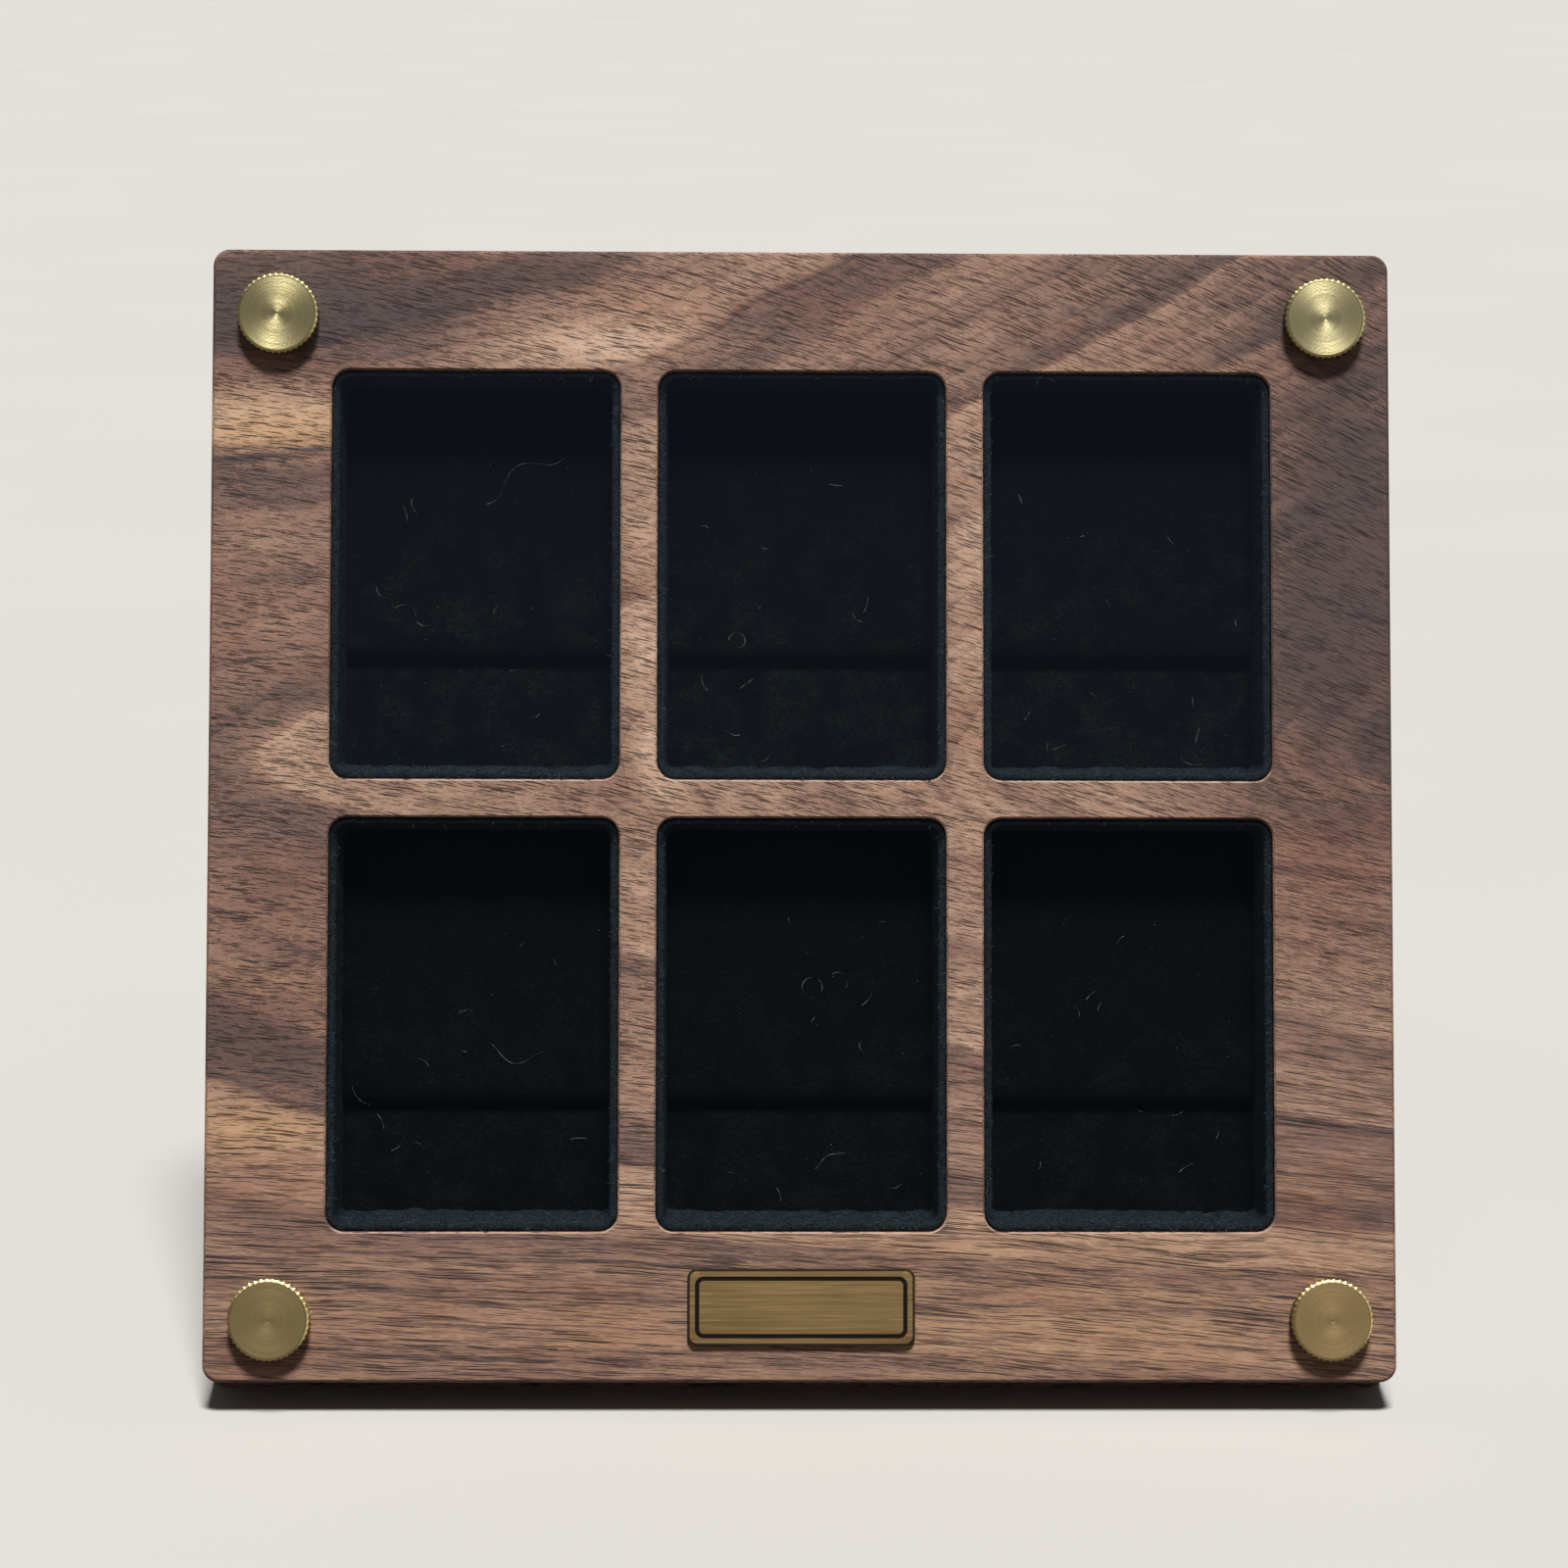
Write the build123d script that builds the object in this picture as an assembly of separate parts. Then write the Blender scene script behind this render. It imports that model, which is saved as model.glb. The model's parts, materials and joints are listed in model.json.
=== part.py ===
from build123d import *
import math
import os

# Lighter display case: a walnut front frame with six velvet-lined pockets,
# clamped to a back board by four knurled thumb screws and held leaning back
# by a folding easel leg.
#
# All lengths are millimetres and all angles degrees. Every piece is drawn on
# the upright case first: X across, Y into the case from its front face, Z up
# from its bottom edge. The whole case is then leaned back onto the table.

# Front frame and its windows
column_count = 3
row_count = 2
window_width = 42.0
window_height = 59.7
window_radius = 2.7
column_gap = 5.4
row_gap = 5.5
side_rail = 17.4
top_rail = 17.6
bottom_rail = 21.5
frame_depth = 13.0
corner_radius = 2.4
edge_break = 0.4
mouth_chamfer = 0.25

# Back board
back_thickness = 5.5
lean = 16.0

# Velvet lining, pad and well floor of a pocket
liner_thickness = 1.1
liner_setback = 0.6
floor_thickness = 0.7
pad_thickness = 2.5
pad_reach = 41.3
pad_shoulder = 1.0
pad_shoulder_drop = 0.5

# Thumb screws
screw_inset_side = 9.6
screw_inset_top = 9.8
screw_inset_bottom = 9.0
head_diameter = 11.8
head_height = 2.8
head_chamfer = 0.5
knurl_teeth = 42
knurl_depth = 0.28
stud_diameter = 4.0
stud_grip = 1.6
stud_tip_chamfer = 0.6
thread_engagement = 4.2

# Threaded inserts
insert_diameter = 7.0
insert_length = 4.6

# Name plate
plate_width = 32.7
plate_height = 11.0
plate_thickness = 0.8
plate_radius = 1.4
plate_chamfer = 0.15
border_inset = 1.1
border_width = 0.5
border_depth = 0.15

# Easel leg
hinge_drop = 52.0
leg_top_width = 26.0
leg_foot_width = 48.0
leg_thickness = 5.5
leg_heel = 7.0
leg_edge_break = 0.6
leg_spread = 28.0

# Bracket, pin and screws of the leg
bracket_thickness = 1.2
bracket_height = 16.0
bracket_flange = 11.0
bracket_corner_radius = 2.0
ear_thickness = 1.4
ear_radius = 4.0
pin_diameter = 3.0
pin_overhang = 0.8
bracket_screw_diameter = 2.4
bracket_screw_head_diameter = 4.4
bracket_screw_length = 5.2

# Clearances
glue_gap = 0.1
soft_gap = 0.3
stud_hole_gap = 0.3
running_gap = 0.05
seat_gap = 0.05
leg_side_gap = 0.35
leg_fold_gap = 0.4
stop_gap = 0.1

# Margins for cutting past a surface and for picking out edges
overcut = 1.0
edge_margin = 0.1

# Worked out from the sizes above
case_width = column_count * window_width + (column_count - 1) * column_gap + 2 * side_rail
case_height = bottom_rail + row_count * window_height + (row_count - 1) * row_gap + top_rail
case_depth = frame_depth + back_thickness
foot_drop = back_thickness * math.tan(math.radians(lean))
hinge_height = case_height - hinge_drop
column_pitch = window_width + column_gap
row_pitch = window_height + row_gap
liner_radius = window_radius - glue_gap
pocket_width = window_width - 2 * (glue_gap + liner_thickness)
pocket_height = window_height - 2 * (glue_gap + liner_thickness)
pocket_radius = liner_radius - liner_thickness
pad_edge = glue_gap + liner_thickness + soft_gap
stud_radius = stud_diameter / 2
pin_radius = pin_diameter / 2
leg_inner_depth = case_depth + bracket_thickness + leg_fold_gap
pin_depth = leg_inner_depth + leg_thickness / 2
bracket_screw_across = leg_top_width / 2 + leg_side_gap + ear_thickness + bracket_flange / 2
far = 2 * (case_width + case_height)

# The place of the leaned case: its bevelled foot lies on the table, centred on the origin
foot_length = back_thickness / math.cos(math.radians(lean))
stand = Pos(0, foot_length / 2, 0) * Rot(-lean, 0, 0) * Pos(0, -case_depth, 0)


def slab(outline, front, back):
    """Solid with an outline drawn across the case, from one depth to another."""
    return extrude(Plane.XZ.offset(-back) * outline, amount=back - front)


def turned(profile, across, up):
    """Solid turned about a line into the case, from a profile of (radius, depth) points."""
    face = Plane.XY * make_face(Polyline(*profile, close=True))
    return Pos(across, 0, up) * revolve(face, Axis.Y)


def rod(radius, front, back, across, up):
    """Plain round bar along the case's depth."""
    return slab(Pos(across, up) * Circle(radius), front, back)


def window_centre(column, row):
    """Middle of one window, with rows counted from the bottom."""
    across = (column - (column_count - 1) / 2) * column_pitch
    up = bottom_rail + window_height / 2 + row * row_pitch
    return across, up


def screw_places():
    """Middle of each thumb screw."""
    across = case_width / 2 - screw_inset_side
    low = screw_inset_bottom
    high = case_height - screw_inset_top
    return [(-across, high), (across, high), (-across, low), (across, low)]


def edges_at(solid, depth):
    """Edges that lie flat at one depth of the case."""
    return solid.edges().filter_by_position(Axis.Y, depth - edge_margin, depth + edge_margin)


def front_frame():
    """Outer slab with rounded edges, six windows and four screw holes."""
    outline = Pos(0, case_height / 2) * RectangleRounded(case_width, case_height, corner_radius)
    frame = slab(outline, 0, frame_depth)
    frame = chamfer(edges_at(frame, 0), edge_break)
    for column in range(column_count):
        for row in range(row_count):
            window = Pos(*window_centre(column, row)) * RectangleRounded(
                window_width, window_height, window_radius
            )
            frame -= slab(window, -overcut, frame_depth + overcut)
    mouths = edges_at(frame, 0)
    mouths = mouths.filter_by_position(Axis.X, (side_rail - case_width) / 2, (case_width - side_rail) / 2)
    mouths = mouths.filter_by_position(Axis.Z, bottom_rail / 2, case_height - top_rail / 2)
    frame = chamfer(mouths, mouth_chamfer)
    for across, up in screw_places():
        frame -= rod(stud_radius + stud_hole_gap, -overcut, frame_depth + overcut, across, up)
    return frame


def ground():
    """Everything below the table, as seen from the upright case."""
    return stand.inverse() * Pos(0, 0, -far / 2) * Box(far, far, far)


def back_board():
    """Slab behind the frame, with its foot bevelled flat on the table and seats for the inserts."""
    middle = (case_height - foot_drop) / 2
    outline = Pos(0, middle) * RectangleRounded(case_width, case_height + foot_drop, corner_radius)
    board = slab(outline, frame_depth, case_depth)
    board = chamfer(edges_at(board, case_depth), edge_break)
    board -= ground()
    for across, up in screw_places():
        hole_end = frame_depth + insert_length + glue_gap
        board -= rod(insert_diameter / 2 + seat_gap, frame_depth - overcut, hole_end, across, up)
    for across, up in bracket_screw_places():
        hole_end = case_depth + bracket_thickness - bracket_screw_length - glue_gap
        board -= rod(bracket_screw_diameter / 2 + seat_gap, hole_end, case_depth + overcut, across, up)
    return board


def liner(column, row):
    """Velvet-covered wall lining of one window."""
    outer = RectangleRounded(window_width - 2 * glue_gap, window_height - 2 * glue_gap, liner_radius)
    inner = RectangleRounded(pocket_width, pocket_height, pocket_radius)
    ring = Pos(*window_centre(column, row)) * (outer - inner)
    return slab(ring, liner_setback, frame_depth - soft_gap)


def pocket_floor(column, row):
    """Velvet-covered card behind one window, which shows as the floor of the well."""
    outline = Pos(*window_centre(column, row)) * RectangleRounded(
        pocket_width - 2 * soft_gap, pocket_height - 2 * soft_gap, pocket_radius - soft_gap
    )
    return slab(outline, frame_depth - floor_thickness, frame_depth)


def pocket_pad(column, row):
    """Raised velvet pad over the upper part of a pocket, with soft shoulders and a step at its foot."""
    across, up = window_centre(column, row)
    width = pocket_width - 2 * soft_gap
    top = up + window_height / 2 - pad_edge
    bottom = up + window_height / 2 - pad_reach
    seat = frame_depth - floor_thickness
    face = seat - pad_thickness
    sections = []
    for depth, inset in ((seat, 0), (face + pad_shoulder_drop, 0), (face, pad_shoulder)):
        radius = pocket_radius - soft_gap
        outline = RectangleRounded(width - 2 * inset, top - bottom - 2 * inset, radius)
        sections.append(Plane.XZ.offset(-depth) * Pos(across, (top + bottom) / 2) * outline)
    return loft(sections, ruled=True)


def knurl_outline(crest, root):
    """Outline of a straight knurl, as one tooth after another round a circle."""
    points = []
    for index in range(2 * knurl_teeth):
        turn = math.pi * index / knurl_teeth
        radius = crest if index % 2 == 0 else root
        points.append((radius * math.cos(turn), radius * math.sin(turn)))
    return make_face(Polyline(*points, close=True))


def screw_head(across, up):
    """Knurled head: straight teeth that run in over a bevel to the flat face."""
    crest = head_diameter / 2
    root = crest - knurl_depth
    shrink = 1 - head_chamfer / crest
    teeth = knurl_outline(crest, root)
    face = knurl_outline(shrink * crest, shrink * root)
    shoulder = head_height - head_chamfer
    head = slab(teeth, -shoulder, -seat_gap)
    head += loft([Plane.XZ.offset(shoulder) * teeth, Plane.XZ.offset(head_height) * face], ruled=True)
    head -= rod(stud_radius + running_gap, -stud_grip - running_gap, overcut, 0, 0)
    return Pos(across, 0, up) * head


def screw_stud(across, up):
    """Stud from inside the head, through the frame and into the insert."""
    tip = frame_depth + thread_engagement
    return turned(
        [
            (0, -stud_grip),
            (stud_radius, -stud_grip),
            (stud_radius, tip - stud_tip_chamfer),
            (stud_radius - stud_tip_chamfer, tip),
            (0, tip),
        ],
        across,
        up,
    )


def threaded_insert(across, up):
    """Sleeve pressed into the back board, which the stud screws into."""
    front = frame_depth + seat_gap
    back = frame_depth + insert_length
    sleeve = rod(insert_diameter / 2, front, back, across, up)
    return sleeve - rod(stud_radius + running_gap, front - overcut, back + overcut, across, up)


def name_plate():
    """Thin plate in the middle of the bottom rail, with an engraved border line."""
    middle = Pos(0, bottom_rail / 2)
    plate = slab(middle * RectangleRounded(plate_width, plate_height, plate_radius), -plate_thickness, 0)
    plate = chamfer(edges_at(plate, -plate_thickness), plate_chamfer)
    line_radius = plate_radius - border_inset / 2
    outer = RectangleRounded(plate_width - 2 * border_inset, plate_height - 2 * border_inset, line_radius)
    inner = offset(outer, -border_width, kind=Kind.INTERSECTION)
    groove = slab(middle * (outer - inner), -plate_thickness - overcut, border_depth - plate_thickness)
    return plate - groove


def easel_leg():
    """Tapered leg in its open place, bevelled to the table at its foot and to the bracket at its heel."""
    heel = hinge_height + leg_heel
    shoulder = hinge_height - ear_radius
    foot = -foot_length
    outline = make_face(
        Polyline(
            (-leg_top_width / 2, heel),
            (leg_top_width / 2, heel),
            (leg_top_width / 2, shoulder),
            (leg_foot_width / 2, foot),
            (-leg_foot_width / 2, foot),
            (-leg_top_width / 2, shoulder),
            close=True,
        )
    )
    leg = slab(outline, leg_inner_depth, leg_inner_depth + leg_thickness)
    leg = chamfer(edges_at(leg, leg_inner_depth + leg_thickness), leg_edge_break)
    leg -= pin_bar(pin_radius + running_gap, leg_foot_width)
    pivot = Pos(0, pin_depth, hinge_height)
    leg = pivot * Rot(leg_spread, 0, 0) * pivot.inverse() * leg
    leg -= ground()
    stop = case_depth + bracket_thickness + stop_gap
    leg -= Pos(0, stop - far / 2, hinge_height) * Box(far, far, far)
    return leg


def pin_bar(radius, width):
    """Round bar across the case at the leg's pivot."""
    return Pos(0, pin_depth, hinge_height) * Rot(0, 90, 0) * Cylinder(radius, width)


def bracket_screw_places():
    """Middle of each small screw that holds the bracket."""
    return [(-bracket_screw_across, hinge_height), (bracket_screw_across, hinge_height)]


def screw_cone(gap):
    """Profile of a countersunk head and its shank, grown by a gap."""
    surface = case_depth + bracket_thickness
    head = bracket_screw_head_diameter / 2 + gap
    shank = bracket_screw_diameter / 2 + gap
    return [
        (0, surface),
        (head, surface),
        (shank, surface - (head - shank)),
        (shank, surface - bracket_screw_length),
        (0, surface - bracket_screw_length),
    ]


def hinge_bracket():
    """Flat plate with two round ears that carry the pin."""
    ear_inside = leg_top_width / 2 + leg_side_gap
    width = 2 * (ear_inside + ear_thickness + bracket_flange)
    outline = Pos(0, hinge_height) * RectangleRounded(width, bracket_height, bracket_corner_radius)
    bracket = slab(outline, case_depth, case_depth + bracket_thickness)
    reach = pin_depth - case_depth
    for side in (-1, 1):
        ear = Pos(0, pin_depth - reach / 2, hinge_height) * Box(ear_thickness, reach, 2 * ear_radius)
        ear += pin_bar(ear_radius, ear_thickness)
        bracket += Pos(side * (ear_inside + ear_thickness / 2), 0, 0) * ear
    bracket -= pin_bar(pin_radius + running_gap, width)
    for across, up in bracket_screw_places():
        bracket -= turned(screw_cone(running_gap), across, up)
    return bracket


def hinge_pin():
    """Plain pin through both ears and the leg, peened just outside the ears."""
    reach = leg_top_width / 2 + leg_side_gap + ear_thickness + pin_overhang
    return pin_bar(pin_radius, 2 * reach)


def bracket_screws():
    """Two countersunk screws that hold the bracket to the back board."""
    screws = []
    for across, up in bracket_screw_places():
        screws.append(turned(screw_cone(0), across, up))
    return Compound(screws)


def all_pieces():
    """Every piece of the upright case, by name."""
    pieces = {"front_frame": front_frame(), "back_board": back_board(), "name_plate": name_plate()}
    for row in range(row_count):
        for column in range(column_count):
            number = (row_count - 1 - row) * column_count + column + 1
            pieces[f"pocket_liner_{number}"] = liner(column, row)
            pieces[f"pocket_pad_{number}"] = pocket_pad(column, row)
            pieces[f"pocket_floor_{number}"] = pocket_floor(column, row)
    for number, (across, up) in enumerate(screw_places(), start=1):
        pieces[f"screw_head_{number}"] = screw_head(across, up)
        pieces[f"screw_stud_{number}"] = screw_stud(across, up)
        pieces[f"threaded_insert_{number}"] = threaded_insert(across, up)
    pieces["easel_leg"] = easel_leg()
    pieces["hinge_bracket"] = hinge_bracket()
    pieces["hinge_pin"] = hinge_pin()
    pieces["bracket_screws"] = bracket_screws()
    return pieces


os.makedirs("parts", exist_ok=True)
for piece_name, piece in all_pieces().items():
    export_step(stand * piece, f"parts/{piece_name}.step")
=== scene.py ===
"""Looks of a small walnut display case with six velvet pockets.

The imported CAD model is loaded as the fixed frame. Each class below dresses one sub-assembly of
the case: it stands finer meshes in for the wood, the velvet and the brass, and gives every piece
its finish. Lengths are metres, in the frame of the CAD model.
"""

import json
import logging
import math
import random
from dataclasses import dataclass
from enum import Enum
from typing import Any, Iterable

import bmesh
import bpy
from bmesh.types import BMEdge, BMFace, BMVert, BMesh
from mathutils import Matrix, Vector, noise


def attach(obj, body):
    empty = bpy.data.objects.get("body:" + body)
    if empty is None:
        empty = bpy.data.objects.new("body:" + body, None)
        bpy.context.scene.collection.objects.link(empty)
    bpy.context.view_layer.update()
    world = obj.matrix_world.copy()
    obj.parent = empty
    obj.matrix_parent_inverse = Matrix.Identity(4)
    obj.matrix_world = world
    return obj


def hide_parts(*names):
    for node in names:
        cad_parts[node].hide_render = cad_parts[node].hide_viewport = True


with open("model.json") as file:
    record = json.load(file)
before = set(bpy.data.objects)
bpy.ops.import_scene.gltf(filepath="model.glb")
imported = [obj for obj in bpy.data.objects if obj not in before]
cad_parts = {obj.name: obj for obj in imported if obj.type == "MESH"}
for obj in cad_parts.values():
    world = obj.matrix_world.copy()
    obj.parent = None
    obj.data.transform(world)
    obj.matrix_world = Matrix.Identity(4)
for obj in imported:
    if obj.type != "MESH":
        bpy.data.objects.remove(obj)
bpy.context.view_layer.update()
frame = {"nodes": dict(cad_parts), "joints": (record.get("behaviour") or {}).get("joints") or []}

LOG = logging.getLogger("display_case")
MM = 0.001
WELD_DISTANCE = 0.002 * MM
FLAT_ANGLE = math.radians(0.5)
SHARP_ANGLE = math.radians(28.0)
ROUND_SEGMENTS = 2
ROUND_PROFILE = 0.5
# Blender's own vector noise differs from run to run, so each axis takes plain noise from its own place.
JITTER_OFFSETS = (Vector((0.0, 0.0, 0.0)), Vector((9.3, -1.5, -8.0)), Vector((-4.7, 6.1, 3.9)))


def linear(hex_code: str) -> tuple[float, float, float, float]:
    """Turns a colour as it looks on a screen into the values that a shader takes.

    Args:
        hex_code: Six hexadecimal digits, red first.

    Returns:
        Linear red, green and blue, and a full alpha.
    """
    levels = [int(hex_code[at:at + 2], 16) / 255 for at in (0, 2, 4)]
    curved = [((level + 0.055) / 1.055) ** 2.4 if level > 0.04045 else level / 12.92 for level in levels]
    return (*curved, 1.0)


def clamped(share: float) -> float:
    """A share kept from 0 to 1."""
    return min(max(share, 0.0), 1.0)


def eased(share: float) -> float:
    """Rises smoothly from 0 to 1 as a share does."""
    return share * share * (3.0 - 2.0 * share)


class Signal:
    """The output of a shader node, for use in Python's sums."""

    def __init__(self, tree: "Tree", socket: bpy.types.NodeSocket) -> None:
        """Keeps a socket and the tree that its sums are added to."""
        self.tree = tree
        self.socket = socket

    def _sum(self, operation: str, *terms: "Signal | float") -> "Signal":
        """Adds one Math node."""
        return self.tree.out("ShaderNodeMath", {"operation": operation}, dict(enumerate(terms)))

    def __add__(self, other: "Signal | float") -> "Signal":
        """Sum of two values."""
        return self._sum("ADD", self, other)

    __radd__ = __add__

    def __sub__(self, other: "Signal | float") -> "Signal":
        """This value less another."""
        return self._sum("SUBTRACT", self, other)

    def __rsub__(self, other: "Signal | float") -> "Signal":
        """Another value less this one."""
        return self._sum("SUBTRACT", other, self)

    def __mul__(self, other: "Signal | float") -> "Signal":
        """Product of two values."""
        return self._sum("MULTIPLY", self, other)

    __rmul__ = __mul__

    def __truediv__(self, other: "Signal | float") -> "Signal":
        """This value over another."""
        return self._sum("DIVIDE", self, other)

    def __pow__(self, power: float) -> "Signal":
        """This value to a power."""
        return self._sum("POWER", self, power)

    def __abs__(self) -> "Signal":
        """Size of this value without its sign."""
        return self._sum("ABSOLUTE", self)

    def sine(self) -> "Signal":
        """Sine of this value, in radians."""
        return self._sum("SINE", self)

    def root(self) -> "Signal":
        """Square root of this value."""
        return self._sum("SQRT", self)

    def falloff(self) -> "Signal":
        """One over e to this value."""
        return self._sum("EXPONENT", self * -1.0)

    def saw(self) -> "Signal":
        """Part of this value after the point, which runs from 0 to 1 again and again."""
        return self._sum("FRACT", self)

    def most(self, other: "Signal | float") -> "Signal":
        """The larger of two values."""
        return self._sum("MAXIMUM", self, other)

    def least(self, other: "Signal | float") -> "Signal":
        """The smaller of two values."""
        return self._sum("MINIMUM", self, other)

    def between(self, low: float, high: float) -> "Signal":
        """Rises smoothly from 0 where this value is low to 1 where it is high."""
        inputs = {"Value": self, "From Min": low, "From Max": high}
        return self.tree.out("ShaderNodeMapRange", {"interpolation_type": "SMOOTHSTEP"}, inputs)


@dataclass(frozen=True)
class Grain:
    """A soft random pattern: how often it changes in a millimetre, in all or along each axis, and how."""

    scale: float | tuple[float, float, float]
    detail: float = 2.0
    rough: float = 0.5
    twist: float = 0.0


class Tree:
    """Builds the nodes of one material, or of the world."""

    # A Mix node set to colours has these sockets, whose names repeat.
    MIX_FACTOR = 0
    MIX_UNDER = 6
    MIX_OVER = 7
    MIX_RESULT = 2

    def __init__(self, owner: bpy.types.Material | bpy.types.World, shader: str) -> None:
        """Starts on the shader node of that type."""
        self.owner = owner
        self.owner.use_nodes = True
        self.nodes = owner.node_tree.nodes
        self.links = owner.node_tree.links
        self.shader = next(node for node in self.nodes if node.type == shader)

    @classmethod
    def of_material(cls, name: str) -> "Tree":
        """Starts a new material."""
        return cls(bpy.data.materials.new(name), "BSDF_PRINCIPLED")

    def feed(self, socket: bpy.types.NodeSocket, value: Any) -> None:
        """Gives a socket a link or a plain value."""
        if isinstance(value, Signal):
            self.links.new(value.socket, socket)
        else:
            socket.default_value = value

    def node(self, kind: str, settings: dict[str, Any], inputs: dict[Any, Any]) -> bpy.types.Node:
        """Adds one node.

        Args:
            kind: Type of the node.
            settings: Its properties, set first. The name stops stands for a ramp's stops.
            inputs: Values or signals for its sockets, by name or number.

        Returns:
            The new node.
        """
        made = self.nodes.new(kind)
        for name, value in settings.items():
            if name == "stops":
                self._set_stops(made.color_ramp, value)
            else:
                setattr(made, name, value)
        for name, value in inputs.items():
            self.feed(made.inputs[name], value)
        return made

    def out(
        self, kind: str, settings: dict[str, Any], inputs: dict[Any, Any], output: int | str = 0
    ) -> Signal:
        """Adds one node and gives one of its outputs."""
        return Signal(self, self.node(kind, settings, inputs).outputs[output])

    @staticmethod
    def _set_stops(ramp: bpy.types.ColorRamp, stops: list[tuple[float, tuple[float, ...]]]) -> None:
        """Gives a colour ramp its stops, as places and linear colours."""
        while len(ramp.elements) < len(stops):
            ramp.elements.new(1.0)
        for element, (place, colour) in zip(ramp.elements, stops):
            element.position = place
            element.color = colour

    def ramp(self, value: Signal, tones: tuple[tuple[float, str], ...]) -> Signal:
        """Colour for a value from 0 to 1."""
        stops = [(place, linear(tone)) for place, tone in tones]
        return self.out("ShaderNodeValToRGB", {"stops": stops}, {0: value})

    def levels(self, value: Signal, points: tuple[tuple[float, float], ...]) -> Signal:
        """Level for a value, read off between given points of value and level."""
        low, high = points[0][0], points[-1][0]
        stops = [((place - low) / (high - low), (level, level, level, 1.0)) for place, level in points]
        return self.out("ShaderNodeValToRGB", {"stops": stops}, {0: (value - low) / (high - low)})

    def mix(self, under: Signal | str, over: Signal | str, factor: Signal | float) -> Signal:
        """Lays one colour over another.

        Args:
            under: Colour where the factor is 0, as a signal or hexadecimal digits.
            over: Colour where the factor is 1.
            factor: How much of the second colour shows.

        Returns:
            The mixed colour.
        """
        colours = [linear(colour) if isinstance(colour, str) else colour for colour in (under, over)]
        inputs = {self.MIX_FACTOR: factor, self.MIX_UNDER: colours[0], self.MIX_OVER: colours[1]}
        return self.out("ShaderNodeMix", {"data_type": "RGBA"}, inputs, self.MIX_RESULT)

    def axes(self, to_piece: Matrix) -> Signal:
        """Place on the piece in millimetres.

        Args:
            to_piece: Turns a place in the frame into one in the piece's own axes, in metres.

        Returns:
            The place, as a vector.
        """
        inputs = {
            "Vector": self.out("ShaderNodeTexCoord", {}, {}, "Object"),
            "Location": to_piece.to_translation() / MM,
            "Rotation": to_piece.to_euler("XYZ"),
            "Scale": Vector((1, 1, 1)) / MM,
        }
        return self.out("ShaderNodeMapping", {"vector_type": "POINT"}, inputs)

    def parts(self, vector: Signal) -> tuple[Signal, Signal, Signal]:
        """The three parts of a vector."""
        split = self.node("ShaderNodeSeparateXYZ", {}, {0: vector})
        return tuple(Signal(self, output) for output in split.outputs)

    def vector(self, x: Signal | float, y: Signal | float, z: Signal | float) -> Signal:
        """A vector from its three parts."""
        return self.out("ShaderNodeCombineXYZ", {}, {0: x, 1: y, 2: z})

    def stretched(self, vector: Signal, per_mm: tuple[float, float, float]) -> Signal:
        """A vector with each part multiplied by its own number."""
        return self.out("ShaderNodeVectorMath", {"operation": "MULTIPLY"}, {0: vector, 1: per_mm})

    def noise(self, place: Signal, grain: Grain) -> Signal:
        """Soft random pattern from 0 to 1 in space."""
        scale = grain.scale
        if isinstance(scale, tuple):
            place = self.stretched(place, scale)
            scale = 1.0
        looks = {"Detail": grain.detail, "Roughness": grain.rough, "Distortion": grain.twist}
        settings = {"noise_dimensions": "3D"}
        return self.out("ShaderNodeTexNoise", settings, {"Vector": place, "Scale": scale, **looks})

    def noise_along(self, value: Signal, grain: Grain) -> Signal:
        """Soft random pattern from 0 to 1 along one value."""
        inputs = {"W": value, "Scale": grain.scale, "Detail": grain.detail}
        return self.out("ShaderNodeTexNoise", {"noise_dimensions": "1D"}, inputs)

    def cells(self, vector: Signal, scale: float = 1.0) -> tuple[Signal, Signal]:
        """Scattered spots: the distance to the nearest one, and a random value for each."""
        inputs = {"Vector": vector, "Scale": scale}
        spots = self.node("ShaderNodeTexVoronoi", {"voronoi_dimensions": "3D", "feature": "F1"}, inputs)
        shade = self.parts(Signal(self, spots.outputs["Color"]))[0]
        return Signal(self, spots.outputs["Distance"]), shade

    def bump(self, height: Signal, depth_mm: float, strength: float) -> Signal:
        """Normal of a surface with small hills.

        Args:
            height: Height from 0 to 1.
            depth_mm: Height of the tallest hill.
            strength: How much of the hills shows.

        Returns:
            The bent normal.
        """
        inputs = {"Height": height, "Distance": depth_mm * MM, "Strength": strength}
        return self.out("ShaderNodeBump", {}, inputs)

    def seen_directly(self) -> Signal:
        """Is 1 for what the camera sees, straight or in a shiny or clear thing, and 0 for plain light."""
        path = self.node("ShaderNodeLightPath", {}, {})
        rays = ("Is Camera Ray", "Is Glossy Ray", "Is Transmission Ray")
        camera, glossy, through = (Signal(self, path.outputs[name]) for name in rays)
        return camera.most(glossy).most(through)

    def dress(self, **values: Any) -> Any:
        """Sets the shader's sockets, named with underscores for spaces.

        Args:
            **values: Signals or plain values.

        Returns:
            The finished material, or the world.
        """
        for name, value in values.items():
            self.feed(self.shader.inputs[name.replace("_", " ").title().replace("Ior", "IOR")], value)
        return self.owner


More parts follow.
